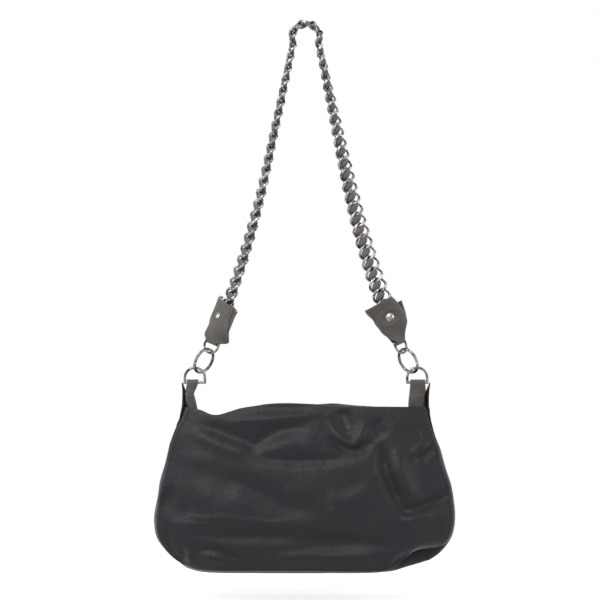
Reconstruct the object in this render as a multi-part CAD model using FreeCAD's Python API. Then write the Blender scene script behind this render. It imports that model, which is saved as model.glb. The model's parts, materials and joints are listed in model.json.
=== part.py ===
"""Chain shoulder bag: a soft leather bag with a zipped mouth, hung from a laced curb chain.

Millimetres, +Z up. The front faces -Y and +X is to the right as seen from the front.
The origin is the point under the chain's middle link where a hook carries the bag.
"""
import FreeCAD, Part
import math
import os
from FreeCAD import Matrix, Placement, Vector

# Chain
link_pitch = 12.0
link_wire = 2.8
link_width = 20.0
link_slack = 0.6
link_twist = 45.0
bend_links = 1
hook_links = 1
upper_links = 12
lower_links = 13
hook_turn = 47.0
hook_lean = -4.0
lower_flare = 8.0
hook_face_turn = 90.0
end_face_turn = {"left": 60.0, "right": 5.0}

# Leather lace through the chain
lace_width = 8.0
lace_thickness = 1.4
lace_petal = 5.0
lace_rise = 1.4
lace_dip = -3.0
lace_offset = -2.4
lace_break = 5.6
lace_taper = 14.0
lace_steps = 6

# Folded leather tab at each end of the chain
end_tab_ply = 1.7
end_tab_width = 34.0
end_tab_fold_width = 13.0
end_tab_above_rivet = 20.0
end_tab_below_rivet = 27.0
end_tab_flat = 9.0
end_tab_mouth = 1.2
end_tab_lean = 22.0
rivet_head = 8.6
rivet_head_height = 1.6
rivet_post = 3.6

# Small ring in the fold of each chain end tab
end_ring_wire = 2.4
end_ring_side_gap = 0.5
end_ring_drop = 12.5
end_ring_lean = 23.0
end_ring_turn = {"left": 28.0, "right": 45.0}

# Spring-gate clip
clip_diameter = 29.5
clip_wire = 3.0
clip_lean = 28.0
clip_turn = -55.0
ring_slack = 0.8
gate_opening = 13.0
gate_end_gap = 0.7
gate_shoulder_gap = 1.2
gate_tongue = 1.0
gate_tongue_reach = 1.9
gate_slot_gap = 0.15
gate_pin_drop = 2.2
gate_pin_wire = 1.0
gate_spring_thickness = 0.4
gate_spring_length = 1.4

# D-ring and its leather loop on the bag
dring_wire = 2.8
dring_rise = 15.4
loop_width = 17.0
loop_side_gap = 0.5
loop_ply = 1.6
loop_rise = 24.0
loop_tail = 18.0
loop_taper = 8.0
loop_ply_gap = 0.3

# Bag shell
bag_height = 173.0
belly_height = 55.0
base_width = 196.0
belly_width = 313.0
rim_width = 254.0
base_depth = 46.0
belly_depth = 76.0
rim_depth = 27.0
leather = 1.6
corner_share = 0.72
seam_share = 0.62
rim_taper = 1.5
side_bulge = 0.36
base_seam_inset = 28.0

# Lining, pocket and base board
lining_thickness = 0.6
board_thickness = 1.5
board_inset = 5.0
pocket_thickness = 0.8
pocket_width = 130.0
pocket_height = 80.0
pocket_rise = 28.0

# Zip in the mouth of the bag
zip_length = 176.0
zip_recess = 15.0
facing_thickness = 1.2
facing_slot = 7.0
tape_thickness = 0.6
tape_width = 8.0
tape_slit = 1.0
tape_overrun = 6.0
tooth_pitch = 3.0
tooth_length = 1.7
tooth_width = 2.4
tooth_height = 1.9
stop_length = 2.0
slider_length = 10.0
slider_width = 9.0
slider_plate = 1.2
slider_web = 0.6
slider_web_length = 5.0
bail_length = 7.4
bail_width = 2.4
bail_wall = 0.7
bail_room = 2.0
puller_pin = 1.6
puller_arm = 1.3
puller_arm_gap = 0.4
puller_yoke = 4.6
puller_length = 19.0
puller_width = 7.4
puller_thickness = 1.2

# Clearances of soft or moving pieces, and of sewn ones
fit = 0.3
sewn_fit = 0.1

SIDES = {"left": -1, "right": 1}
Y_AXIS = Vector(0, 1, 0)
Z_AXIS = Vector(0, 0, 1)


def down(lean, side):
    """Direction of a strap piece that leans outwards by a number of degrees as it goes down."""
    angle = math.radians(lean)
    return Vector(side * math.sin(angle), 0, -math.cos(angle))


def outward(lean, side):
    """Direction square to a leaning strap piece, away from the bag's middle."""
    angle = math.radians(lean)
    return Vector(side * math.cos(angle), 0, math.sin(angle))


def across(lean, side, turn):
    """Width direction of a leaning piece whose face is turned about its own length."""
    angle = math.radians(turn)
    return outward(lean, side) * math.cos(angle) + Y_AXIS * math.sin(angle)


def facing(lean, side, turn):
    """Direction that the face of a leaning, turned piece looks in."""
    angle = math.radians(turn)
    return outward(lean, side) * math.sin(angle) - Y_AXIS * math.cos(angle)


def placement(origin, width, upward):
    """Place a piece drawn with its width on X and its length on Z."""
    depth = upward.cross(width)
    return Placement(Matrix(width.x, depth.x, upward.x, origin.x,
                            width.y, depth.y, upward.y, origin.y,
                            width.z, depth.z, upward.z, origin.z,
                            0, 0, 0, 1))


def box(low, high):
    """Block between two opposite corners."""
    size = high - low
    return Part.makeBox(size.x, size.y, size.z, low)


def rod(start, end, diameter):
    """Round bar between two points."""
    return Part.makeCylinder(diameter / 2, (end - start).Length, start, end - start)


def arc_between(start, tangent, end):
    """Arc that leaves one point along a tangent and ends at another point."""
    chord = end - start
    bulge = tangent - chord * (tangent.dot(chord) / chord.dot(chord))
    bulge.normalize()
    half_angle = tangent.getAngle(chord)
    middle = (start + end) * 0.5 + bulge * (chord.Length / 2 * math.tan(half_angle / 2))
    return Part.Arc(start, middle, end).toShape()


def biarc(start, start_tangent, end, end_tangent):
    """Two arcs that join two points smoothly along their tangents."""
    gap = end - start
    total = start_tangent + end_tangent
    spread = 2 * (1 - start_tangent.dot(end_tangent))
    along = gap.dot(total)
    reach = (math.sqrt(along * along + spread * gap.dot(gap)) - along) / spread
    first = start + start_tangent * reach
    last = end - end_tangent * reach
    middle_tangent = last - first
    middle_tangent.normalize()
    middle = (first + last) * 0.5
    return [arc_between(start, start_tangent, middle), arc_between(middle, middle_tangent, end)]


def wire_ring(edges, diameter):
    """Round wire along a closed path of arcs and straight runs."""
    pieces = []
    for edge in edges:
        start = edge.valueAt(edge.FirstParameter)
        section = Part.Face(Part.Wire(Part.makeCircle(
            diameter / 2, start, edge.tangentAt(edge.FirstParameter))))
        if isinstance(edge.Curve, Part.Line):
            pieces.append(section.extrude(edge.valueAt(edge.LastParameter) - start))
        else:
            sweep = math.degrees(edge.LastParameter - edge.FirstParameter)
            pieces.append(section.revolve(edge.Curve.Center, edge.Curve.Axis, sweep))
    return pieces[0].multiFuse(pieces[1:]).Solids[0]


# Twisted curb link, drawn with its length on Z and its width on X
link_half_length = (link_pitch + link_wire + link_slack) / 2
link_half_width = (link_width - link_wire) / 2


def link_point(angle):
    """Point on the middle line of the twisted link."""
    twist = math.radians(link_twist) * math.sin(angle)
    width = link_half_width * math.cos(angle)
    return Vector(width * math.cos(twist), width * math.sin(twist), link_half_length * math.sin(angle))


def link_tangent(angle):
    """Direction of the twisted link's middle line."""
    twist = math.radians(link_twist) * math.sin(angle)
    twist_rate = math.radians(link_twist) * math.cos(angle)
    width = link_half_width * math.cos(angle)
    width_rate = -link_half_width * math.sin(angle)
    tangent = Vector(width_rate * math.cos(twist) - width * math.sin(twist) * twist_rate,
                     width_rate * math.sin(twist) + width * math.cos(twist) * twist_rate,
                     link_half_length * math.cos(angle))
    tangent.normalize()
    return tangent


def make_link():
    """One link of round wire, from biarcs of a quarter turn each."""
    edges = []
    for quarter in range(4):
        start = math.pi / 2 * quarter
        end = start + math.pi / 2
        edges += biarc(link_point(start), link_tangent(start), link_point(end), link_tangent(end))
    return wire_ring(edges, link_wire)


link = make_link()
link_half_thickness = link.BoundBox.YMax

# Where the strap's pieces lie, worked out from the hook down one side
end_ring_width = end_tab_fold_width + 2 * end_ring_side_gap
clip_radius = (clip_diameter - clip_wire) / 2
dring_width = loop_width + 2 * loop_side_gap
dring_radius = (dring_width + dring_wire) / 2
end_wire_step = (end_ring_wire + clip_wire) / 2 + ring_slack
dring_wire_step = (dring_wire + clip_wire) / 2 + ring_slack
loop_outer = rim_width / 2 - leather - fit - lining_thickness - fit
loop_middle = loop_outer - loop_width / 2


class StrapSide:
    """Places of the strap's pieces on one side, for a lean of the chain's upper leg."""

    def __init__(self, side, lean):
        self.side = side
        turn = (90 - hook_turn - hook_lean) / bend_links
        corner = Vector(side * link_pitch / 2, 0, link_half_thickness)
        self.links = []
        for count in range(bend_links):
            corner = self.add_link(corner, 90 - hook_turn - turn * count)
        for count in range(hook_links):
            corner = self.add_link(corner, hook_lean)
        self.upper_pivot = corner
        for count in range(upper_links):
            corner = self.add_link(corner, lean)
        self.lower_pivot = corner
        for count in range(1, lower_links):
            corner = self.add_link(corner, lean + lower_flare * count / (lower_links - 1))
        self.add_link(corner, end_tab_lean)
        self.rivet = self.links[-1][0]
        self.end_bar = self.rivet + down(end_tab_lean, side) * end_tab_below_rivet
        end_ring_crown = self.end_bar + down(end_ring_lean, side) * end_ring_drop
        clip_down = down(clip_lean, side)
        clip_top = end_ring_crown - clip_down * end_wire_step
        self.clip_pivot = (end_ring_crown + clip_top) * 0.5
        self.clip_middle = clip_top + clip_down * clip_radius
        clip_bottom = self.clip_middle + clip_down * clip_radius
        self.dring_pivot = clip_bottom - clip_down * dring_wire_step
        self.dring_bar = (self.dring_pivot + clip_down * dring_radius
                          - Z_AXIS * (dring_rise - dring_radius))

    def add_link(self, corner, lean):
        """Note the next link's middle and lean, and give the corner where it ends."""
        step = down(lean, self.side) * link_pitch
        self.links.append((corner + step * 0.5, lean))
        return corner + step


def leg_lean():
    """Lean of the chain's upper legs that brings the D-rings over the bag's loops."""
    low, high = -60.0, 80.0
    while high - low > 1e-9:
        lean = (low + high) / 2
        if StrapSide(1, lean).dring_bar.x < loop_middle:
            low = lean
        else:
            high = lean
    return low


chain_lean = leg_lean()
straps = {name: StrapSide(side, chain_lean) for name, side in SIDES.items()}
rim_z = straps["right"].dring_bar.z - loop_rise
floor_z = rim_z - bag_height


def link_frames(name):
    """Middle, length, width and face of each link on one side, from the hook down."""
    strap = straps[name]
    frames = []
    last = len(strap.links) - 1
    for index, (middle, lean) in enumerate(strap.links):
        share = max(0, index - bend_links + 1) / (last - bend_links + 1)
        turn = hook_face_turn + (end_face_turn[name] - hook_face_turn) * share
        frames.append((middle, down(lean, strap.side), across(lean, strap.side, turn),
                       facing(lean, strap.side, turn)))
    return frames


held_links = bend_links + hook_links
left_frames = link_frames("left")
right_frames = link_frames("right")
top_frame = (Vector(0, 0, link_half_thickness), Vector(1, 0, 0), Y_AXIS, Z_AXIS)
top_frames = [(middle, length * -1, width, face)
              for middle, length, width, face in reversed(left_frames[:held_links])]
top_frames += [top_frame] + right_frames[:held_links]
upper_end = held_links + upper_links
chain_frames = {"top": top_frames}
for name, frames in (("left", left_frames), ("right", right_frames)):
    chain_frames["upper_" + name] = frames[held_links:upper_end]
    chain_frames["lower_" + name] = frames[upper_end:]


def chain(frames):
    """Links of one stretch of chain, each a solid of its own."""
    links = []
    for middle, length, width, face in frames:
        placed = link.copy()
        placed.Placement = placement(middle, width, length)
        links.append(placed)
    return links


def lace(frames, start_gap, end_gap):
    """Leather strip that swells into a petal in each link and passes under each crossing."""
    start = start_gap
    end = len(frames) * link_pitch - end_gap
    steps = [link_pitch * step / lace_steps for step in range(len(frames) * lace_steps + 1)]
    places = [start] + [place for place in steps if start < place < end] + [end]
    sections = []
    for along in places:
        index = min(int(along / link_pitch), len(frames) - 1)
        middle, length, width, face = frames[index]
        place = along - (index + 0.5) * link_pitch
        taper = min(1, (along - start) / lace_taper, (end - along) / lace_taper)
        phase = 2 * math.pi * place / link_pitch
        opening = (1 + math.cos(phase)) / 2
        wave = lace_rise - lace_dip
        slope = -wave * math.pi / link_pitch * math.sin(phase)
        thick = face - length * slope
        thick.normalize()
        half = thick * ((lace_thickness + (lace_petal - lace_thickness) * opening * taper) / 2)
        centre = middle + length * place + face * (lace_dip + wave * opening)
        edge_a = centre + width * (lace_offset - lace_width / 2)
        edge_b = centre + width * (lace_offset + lace_width / 2)
        sections.append(Part.makePolygon([edge_a - half, edge_b - half, edge_b + half, edge_a + half,
                                          edge_a - half]))
    return Part.makeLoft(sections, True, True)


# Chain end tab: two plies that twist from the fold up to the chain's flat
end_tab_inner = end_ring_wire / 2 + fit
end_tab_outer = end_tab_inner + end_tab_ply
end_tab_room = link_half_thickness + fit
end_tab_height = end_tab_below_rivet + end_tab_above_rivet


def end_tab_stations(name):
    """Height above the ring's bar, width, turn and half room between plies, from the fold up."""
    flat_start = end_tab_below_rivet - end_tab_flat
    fold_turn = end_ring_turn[name]
    top_turn = end_face_turn[name]
    stations = []
    for share in (0, 0.25, 0.5, 0.75, 1):
        ease = share * share * (3 - 2 * share)
        height = flat_start * share
        width = end_tab_fold_width + (end_tab_width - end_tab_fold_width) * height / end_tab_below_rivet
        stations.append((height, width, fold_turn + (top_turn - fold_turn) * ease,
                         end_tab_inner + (end_tab_room - end_tab_inner) * ease))
    stations.append((end_tab_below_rivet, end_tab_width, top_turn, end_tab_room))
    stations.append((end_tab_below_rivet + rivet_head / 2 + fit, end_tab_width, top_turn, end_tab_room))
    stations.append((end_tab_height, end_tab_width, top_turn, end_tab_room + end_tab_mouth))
    return stations


def end_tab(name):
    """Folded and twisted leather tab with the rivet's hole through both plies."""
    strap = straps[name]
    rise = down(end_tab_lean, strap.side) * -1
    pieces = []
    for ply_side in (-1, 1):
        sections = []
        for height, width, turn, room in end_tab_stations(name):
            side_step = across(end_tab_lean, strap.side, turn) * (width / 2)
            face = facing(end_tab_lean, strap.side, turn) * ply_side
            inner = strap.end_bar + rise * height + face * room
            outer = inner + face * end_tab_ply
            sections.append(Part.makePolygon([inner - side_step, inner + side_step, outer + side_step,
                                              outer - side_step, inner - side_step]))
        pieces.append(Part.makeLoft(sections, True, True))
    fold_across = across(end_tab_lean, strap.side, end_ring_turn[name])
    fold_face = facing(end_tab_lean, strap.side, end_ring_turn[name])
    half_fold = fold_across * (end_tab_fold_width / 2)
    inner = strap.end_bar + fold_face * end_tab_inner
    outer = strap.end_bar + fold_face * end_tab_outer
    fold_section = Part.makePolygon([inner - half_fold, outer - half_fold, outer + half_fold,
                                     inner + half_fold, inner - half_fold])
    under = 180 if (fold_across.cross(fold_face)).dot(rise) < 0 else -180
    fold = Part.Face(fold_section).revolve(strap.end_bar, fold_across, under)
    tab = fold.multiFuse(pieces).Solids[0]
    return tab.cut(rivet_rod(name, rivet_post + 2 * sewn_fit, end_tab_room + 2 * end_tab_ply))


def rivet_rod(name, diameter, half_length):
    """Rod along a chain end's rivet, centred in the last link."""
    strap = straps[name]
    face = facing(end_tab_lean, strap.side, end_face_turn[name])
    return rod(strap.rivet - face * half_length, strap.rivet + face * half_length, diameter)


def rivet(name):
    """Domed rivet cap in front, and the post with its flange behind."""
    strap = straps[name]
    face = facing(end_tab_lean, strap.side, end_face_turn[name])
    seat = end_tab_room + end_tab_ply
    front = strap.rivet + face * seat
    back = strap.rivet - face * seat
    rim = front + Z_AXIS.cross(face).normalize() * (rivet_head / 2)
    crown = front + face * rivet_head_height
    dome = arc_between(crown, (rim - front).normalize(), rim)
    half_section = [Part.LineSegment(rim, front).toShape(), Part.LineSegment(front, crown).toShape(), dome]
    cap = Part.Face(Part.Wire(Part.__sortEdges__(half_section))).revolve(front, face, 360)
    flange = rod(back - face * (rivet_head_height / 2), back, rivet_head)
    post = rod(back, front, rivet_post)
    return cap, flange.fuse(post).Solids[0]


def d_shape(bar_length, radius, rise):
    """Edges of a D in the XZ plane: bar along X through the origin, crown up at a height."""
    half = bar_length / 2
    shoulder = rise - radius
    corners = [Vector(-half, 0, 0), Vector(half, 0, 0), Vector(half, 0, shoulder), Vector(-half, 0, shoulder)]
    bar = Part.LineSegment(corners[0], corners[1]).toShape()
    right = Part.LineSegment(corners[1], corners[2]).toShape()
    crown = Part.Arc(corners[2], Vector(0, 0, rise), corners[3]).toShape()
    left = Part.LineSegment(corners[3], corners[0]).toShape()
    return [bar, right, crown, left]


def d_ring(width, wire, rise):
    """D-ring of round wire with rounded bar ends."""
    half = (width + wire) / 2
    ring = wire_ring(d_shape(2 * half, half, rise), wire)
    ends = [Part.makeSphere(wire / 2, Vector(place, 0, 0)) for place in (-half, half)]
    return ring.multiFuse(ends).removeSplitter().Solids[0]


def end_ring(name):
    """Small D-ring hanging from the fold of a chain end tab."""
    strap = straps[name]
    ring = d_ring(end_ring_width, end_ring_wire, end_ring_drop)
    bar = across(end_tab_lean, strap.side, end_ring_turn[name])
    hang = down(end_ring_lean, strap.side)
    hang = (hang - bar * hang.dot(bar)).normalize()
    ring.Placement = placement(strap.end_bar, bar, hang)
    return ring


# Spring-gate clip, drawn in the XZ plane with its gate at +X, its top at +Z and its middle at the origin
gate_half = gate_opening / 2
pin_height = gate_half + gate_pin_drop
pin_place = math.sqrt(clip_radius ** 2 - pin_height ** 2)
tongue_half = gate_tongue / 2
slot_half = tongue_half + gate_slot_gap
slot_top = pin_height + gate_tongue_reach + fit + gate_spring_length


def clip_pieces():
    """Ring body with a slotted end, gate with a tongue, hinge pin and leaf spring."""
    reach = clip_diameter
    ring = Part.makeTorus(clip_radius, clip_wire / 2, Vector(0, 0, 0), Y_AXIS)
    mouth = box(Vector(0, -reach, -gate_half), Vector(reach, reach, gate_half))
    slot = box(Vector(0, -slot_half, 0), Vector(reach, slot_half, slot_top))
    pin_start = Vector(pin_place, -clip_wire / 2 + fit, pin_height)
    pin_end = Vector(pin_place, clip_wire / 2 - fit, pin_height)
    pin = rod(pin_start, pin_end, gate_pin_wire)
    pin_hole = rod(pin_start - Y_AXIS * reach, pin_end + Y_AXIS * reach, gate_pin_wire + sewn_fit)
    body = ring.cut(mouth).cut(slot).cut(pin_hole)
    blade = box(Vector(0, -reach, gate_end_gap - gate_half),
                Vector(reach, reach, gate_half - gate_shoulder_gap))
    tongue = box(Vector(0, -tongue_half, 0), Vector(reach, tongue_half, pin_height))
    knuckle = rod(Vector(pin_place, -tongue_half, pin_height), Vector(pin_place, tongue_half, pin_height),
                  2 * gate_tongue_reach)
    gate = ring.common(blade).fuse(ring.common(tongue)).fuse(knuckle.common(ring)).cut(pin_hole)
    spring_foot = slot_top - gate_spring_length
    spring_place = math.sqrt(clip_radius ** 2 - (slot_top - gate_spring_length / 2) ** 2)
    spring = box(Vector(spring_place - gate_spring_thickness / 2, -tongue_half, spring_foot),
                 Vector(spring_place + gate_spring_thickness / 2, tongue_half, slot_top)).common(ring)
    return body, gate.removeSplitter(), pin, spring


clip_parts = clip_pieces()


def placed_clip(name):
    """The clip's pieces turned and hung on one side."""
    strap = straps[name]
    where = placement(strap.clip_middle, across(clip_lean, strap.side, clip_turn),
                      down(clip_lean, strap.side) * -1)
    pieces = []
    for piece in clip_parts:
        placed = piece.Solids[0].copy()
        placed.Placement = where
        pieces.append(placed)
    return pieces


# D-rings and the leather loops that hold them
loop_inner = dring_wire / 2 + fit
loop_outside = loop_inner + loop_ply
loop_closed = loop_ply_gap / 2


def dring(name):
    """D-ring with its bar along X in the bag's leather loop."""
    ring = d_ring(dring_width, dring_wire, dring_rise)
    ring.translate(straps[name].dring_bar)
    return ring


def loop_tab(name):
    """Leather strip folded over the D-ring's bar, its two plies sewn into the bag's mouth."""
    foot = -(loop_rise + loop_tail)
    outside = [(loop_outside, 0), (loop_closed + loop_ply, -loop_taper), (loop_closed + loop_ply, foot),
               (loop_closed, foot), (loop_closed, -loop_taper), (loop_inner, 0)]
    right = [Vector(0, place, height) for place, height in outside]
    left = [Vector(0, -point.y, point.z) for point in right]
    edges = [Part.Arc(left[0], Vector(0, 0, loop_outside), right[0]).toShape(),
             Part.Arc(right[-1], Vector(0, 0, loop_inner), left[-1]).toShape()]
    for points in (right, left):
        edges += [Part.LineSegment(a, b).toShape() for a, b in zip(points, points[1:])]
    strip = Part.Face(Part.Wire(Part.__sortEdges__(edges))).extrude(Vector(loop_width, 0, 0))
    strip.translate(straps[name].dring_bar - Vector(loop_width / 2, 0, 0))
    return strip


# Bag shell, lofted through level sections below and above the belly
low_shares = (0, 0.02, 0.06, 0.126, 0.21, 0.32, 0.47, 0.7)
high_shares = (0, 0.2, 0.4, 0.6, 0.8, 1)
section_heights = [belly_height * share for share in low_shares]
section_heights += [belly_height + (bag_height - belly_height) * share for share in high_shares]
half_sizes = {"width": (base_width / 2, belly_width / 2, rim_width / 2),
              "depth": (base_depth / 2, belly_depth / 2, rim_depth / 2)}


def half_size(which, height):
    """Half width or half depth of the bag at a height above its floor."""
    base, belly, rim = half_sizes[which]
    if height < belly_height:
        rise = 1 - height / belly_height
        return base + (belly - base) * math.sqrt(1 - rise * rise)
    share = (height - belly_height) / (bag_height - belly_height)
    return belly - (belly - rim) * share ** rim_taper


def bag_form(inset, lift, top=bag_height):
    """Closed form of the bag, drawn in from its outside by an inset and lifted off its floor."""
    sections = []
    for height in section_heights:
        width = half_size("width", height) - inset
        depth = half_size("depth", height) - inset
        corner = depth * corner_share
        side = width - depth * side_bulge
        level = floor_z + lift + height / bag_height * (top - lift)
        corners = [Vector(-side, -corner, level), Vector(side, -corner, level),
                   Vector(side, corner, level), Vector(-side, corner, level)]
        middles = [Vector(0, -depth, level), Vector(width, 0, level),
                   Vector(0, depth, level), Vector(-width, 0, level)]
        arcs = [Part.Arc(corners[k], middles[k], corners[(k + 1) % 4]).toShape() for k in range(4)]
        sections.append(Part.Wire(arcs))
    return Part.makeLoft(sections, True, True)


def gusset_band():
    """Prism between the front and back seams, along the whole bag."""
    reach = belly_width
    points = [(half_size("depth", height) * seam_share, floor_z + height) for height in section_heights]
    outline = [(points[0][0], floor_z - leather)] + points + [(points[-1][0], rim_z + leather)]
    front = [Vector(-reach, -depth, level) for depth, level in outline]
    back = [Vector(-reach, depth, level) for depth, level in reversed(outline)]
    return Part.Face(Part.makePolygon(front + back + front[:1])).extrude(Vector(2 * reach, 0, 0))


def front_prism(outline):
    """Prism through the bag from front to back, of an outline seen from the front."""
    points = [Vector(across_bag, -belly_depth, level) for across_bag, level in outline]
    return Part.Face(Part.makePolygon(points + points[:1])).extrude(Vector(0, 2 * belly_depth, 0))


def bag_panels():
    """Front and back panels, side gussets and base gusset, cut from one shell along the seams."""
    shell = bag_form(0, 0).cut(bag_form(leather, leather, bag_height + leather))
    band = gusset_band()
    front, back = sorted(shell.cut(band).Solids, key=lambda solid: solid.CenterOfMass.y)
    gusset = shell.common(band)
    seam = belly_width / 2 - base_seam_inset
    under = floor_z - leather
    belly = floor_z + belly_height
    base = gusset.common(front_prism([(-seam, under), (seam, under), (seam, belly), (-seam, belly)]))
    sides = []
    for side in SIDES.values():
        end, edge = side * belly_width, side * seam
        sides.append(gusset.common(front_prism([(end, under), (edge, under), (edge, belly), (0, belly),
                                                (0, rim_z + leather), (end, rim_z + leather)])))
    return front, back, base.Solids[0], sides[0].Solids[0], sides[1].Solids[0]


board_floor = leather + sewn_fit
lining_lift = board_floor + board_thickness + fit
lining_inset = leather + fit
facing_floor = bag_height - zip_recess
tape_floor = facing_floor - tape_thickness
lining_top = tape_floor - fit


def base_board():
    """Stiff board that lies on the base gusset under the lining."""
    half_length = base_width / 2 - leather - board_inset
    half_depth = base_depth / 2 - leather - board_inset
    return box(Vector(-half_length, -half_depth, floor_z + board_floor),
               Vector(half_length, half_depth, floor_z + board_floor + board_thickness))


def below(height):
    """Block that holds everything in the bag below a height."""
    return box(Vector(-belly_width, -belly_depth, floor_z - leather),
               Vector(belly_width, belly_depth, floor_z + height))


def lining():
    """Cloth bag inside the shell, open at the top under the zip."""
    outside = bag_form(lining_inset, lining_lift)
    inside = bag_form(lining_inset + lining_thickness, lining_lift + lining_thickness)
    return outside.cut(inside).common(below(lining_top)).Solids[0]


def inner_pocket():
    """Slip pocket's panel, close to the back of the lining."""
    inset = lining_inset + lining_thickness + sewn_fit
    lift = lining_lift + lining_thickness
    layer = bag_form(inset, lift).cut(bag_form(inset + pocket_thickness, lift))
    window = box(Vector(-pocket_width / 2, 0, floor_z + pocket_rise),
                 Vector(pocket_width / 2, belly_depth, floor_z + pocket_rise + pocket_height))
    return layer.common(window).Solids[0]


# Zip, from the facings in to the slider
zip_half = zip_length / 2
tape_half = zip_half + tape_overrun
slider_rest = -(zip_half - slider_length / 2 - fit)
tooth_floor = floor_z + facing_floor
tooth_top = tooth_floor + tooth_height
plate_floor = tooth_top + fit
plate_top = plate_floor + slider_plate
puller_axis = plate_top + bail_room - puller_pin / 2 - sewn_fit


def zip_facings():
    """Leather strips that close the mouth on each side of the zip and hold the loops' tails."""
    sheet = bag_form(leather + sewn_fit, leather + sewn_fit)
    level = floor_z + facing_floor
    slab = box(Vector(-belly_width, -belly_depth, level),
               Vector(belly_width, belly_depth, level + facing_thickness))
    half_tail = loop_closed + loop_ply + sewn_fit
    half_slot = facing_slot / 2
    tail_slot = box(Vector(-belly_width, -half_tail, level - leather), Vector(belly_width, half_tail, rim_z))
    zip_slot = box(Vector(-tape_half, -half_slot, level - leather), Vector(tape_half, half_slot, rim_z))
    strips = sheet.common(slab).cut(tail_slot).cut(zip_slot).Solids
    return sorted(strips, key=lambda solid: solid.CenterOfMass.y)


def zip_tapes():
    """Cloth tapes under the facings, a slit apart."""
    tapes = []
    for side in (-1, 1):
        near = side * tape_slit / 2
        far = near + side * tape_width
        tapes.append(box(Vector(-tape_half, min(near, far), floor_z + tape_floor),
                         Vector(tape_half, max(near, far), tooth_floor)))
    return tapes


def zip_teeth(side):
    """One row of teeth on its tape, half a pitch from the other row."""
    count = int((zip_length - tooth_length - tooth_pitch / 2) / tooth_pitch) + 1
    first = -(count - 1) * tooth_pitch / 2 + side * tooth_pitch / 4
    near = side * tape_slit / 2
    far = near + side * tooth_width
    teeth = []
    for index in range(count):
        start = first + index * tooth_pitch - tooth_length / 2
        teeth.append(box(Vector(start, min(near, far), tooth_floor),
                         Vector(start + tooth_length, max(near, far), tooth_top)))
    return teeth


def zip_stops():
    """Four end stops, one on each end of each tape."""
    stops = []
    for end in (-1, 1):
        for side in (-1, 1):
            start = end * (zip_half + fit + stop_length / 2) - stop_length / 2
            near = side * tape_slit / 2
            far = near + side * tooth_width
            stops.append(box(Vector(start, min(near, far), tooth_floor),
                             Vector(start + stop_length, max(near, far), tooth_top + fit + slider_plate / 2)))
    return stops


def zip_slider():
    """Slider: a plate above and below the tapes, joined by a web, with a bail on top."""
    half_length = slider_length / 2
    half_width = slider_width / 2
    under_top = floor_z + tape_floor - fit
    top = box(Vector(-half_length, -half_width, plate_floor), Vector(half_length, half_width, plate_top))
    web = box(Vector(-slider_web_length / 2, -slider_web / 2, under_top - slider_plate),
              Vector(slider_web_length / 2, slider_web / 2, plate_top))
    under = box(Vector(-half_length, -half_width, under_top - slider_plate),
                Vector(half_length, half_width, under_top))
    arch = box(Vector(-bail_length / 2, -bail_width / 2, plate_top),
               Vector(bail_length / 2, bail_width / 2, plate_top + bail_room + bail_wall))
    arch_room = box(Vector(bail_wall - bail_length / 2, -bail_width, plate_top),
                    Vector(bail_length / 2 - bail_wall, bail_width, plate_top + bail_room))
    slider = top.multiFuse([web, under, arch.cut(arch_room)]).Solids[0]
    slider.translate(Vector(slider_rest, 0, 0))
    return slider


def zip_puller():
    """Puller: a pin under the slider's bail, two arms and a blade with a round end."""
    arm_near = bail_width / 2 + puller_arm_gap
    arm_far = arm_near + puller_arm
    half_thick = puller_thickness / 2
    half_blade = puller_width / 2
    pin = rod(Vector(0, -arm_far, puller_axis), Vector(0, arm_far, puller_axis), puller_pin)
    arms = [box(Vector(0, low, puller_axis - half_thick),
                Vector(puller_yoke, low + puller_arm, puller_axis + half_thick))
            for low in (-arm_far, arm_near)]
    blade = box(Vector(puller_yoke, -half_blade, puller_axis - half_thick),
                Vector(puller_length - half_blade, half_blade, puller_axis + half_thick))
    tip = Vector(puller_length - half_blade, 0, puller_axis)
    end = rod(tip - Z_AXIS * half_thick, tip + Z_AXIS * half_thick, puller_width)
    puller = pin.multiFuse(arms + [blade, end]).removeSplitter().Solids[0]
    puller.translate(Vector(slider_rest, 0, 0))
    return puller


def save(node, solids):
    """Write one sub-part, a single solid or a group of like ones."""
    shape = solids[0] if len(solids) == 1 else Part.makeCompound(solids)
    shape.exportStep(os.path.join("parts", node + ".step"))


def main():
    """Build every sub-part and write it."""
    os.makedirs("parts", exist_ok=True)
    for stretch, frames in chain_frames.items():
        save("chain_" + stretch, chain(frames))
    save("lace_top", [lace(chain_frames["top"], lace_break, lace_break)])
    for name in SIDES:
        save("lace_upper_" + name, [lace(chain_frames["upper_" + name], lace_break, lace_break)])
        save("lace_lower_" + name, [lace(chain_frames["lower_" + name][:-1], lace_break, 0)])
        save("end_tab_" + name, [end_tab(name)])
        cap, post = rivet(name)
        save("rivet_cap_" + name, [cap])
        save("rivet_post_" + name, [post])
        save("end_ring_" + name, [end_ring(name)])
        for node, piece in zip(("clip_body_", "clip_gate_", "gate_pin_", "gate_spring_"), placed_clip(name)):
            save(node + name, [piece])
        save("dring_" + name, [dring(name)])
        save("loop_tab_" + name, [loop_tab(name)])
    panels = ("front_panel", "back_panel", "base_gusset", "side_gusset_left", "side_gusset_right")
    for node, panel in zip(panels, bag_panels()):
        save(node, [panel])
    save("base_board", [base_board()])
    save("lining", [lining()])
    save("inner_pocket", [inner_pocket()])
    for node, strip in zip(("zip_facing_front", "zip_facing_back"), zip_facings()):
        save(node, [strip])
    for node, tape in zip(("zip_tape_front", "zip_tape_back"), zip_tapes()):
        save(node, [tape])
    save("zip_teeth_front", zip_teeth(-1))
    save("zip_teeth_back", zip_teeth(1))
    save("zip_stops", zip_stops())
    save("zip_slider", [zip_slider()])
    save("zip_puller", [zip_puller()])


main()
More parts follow.
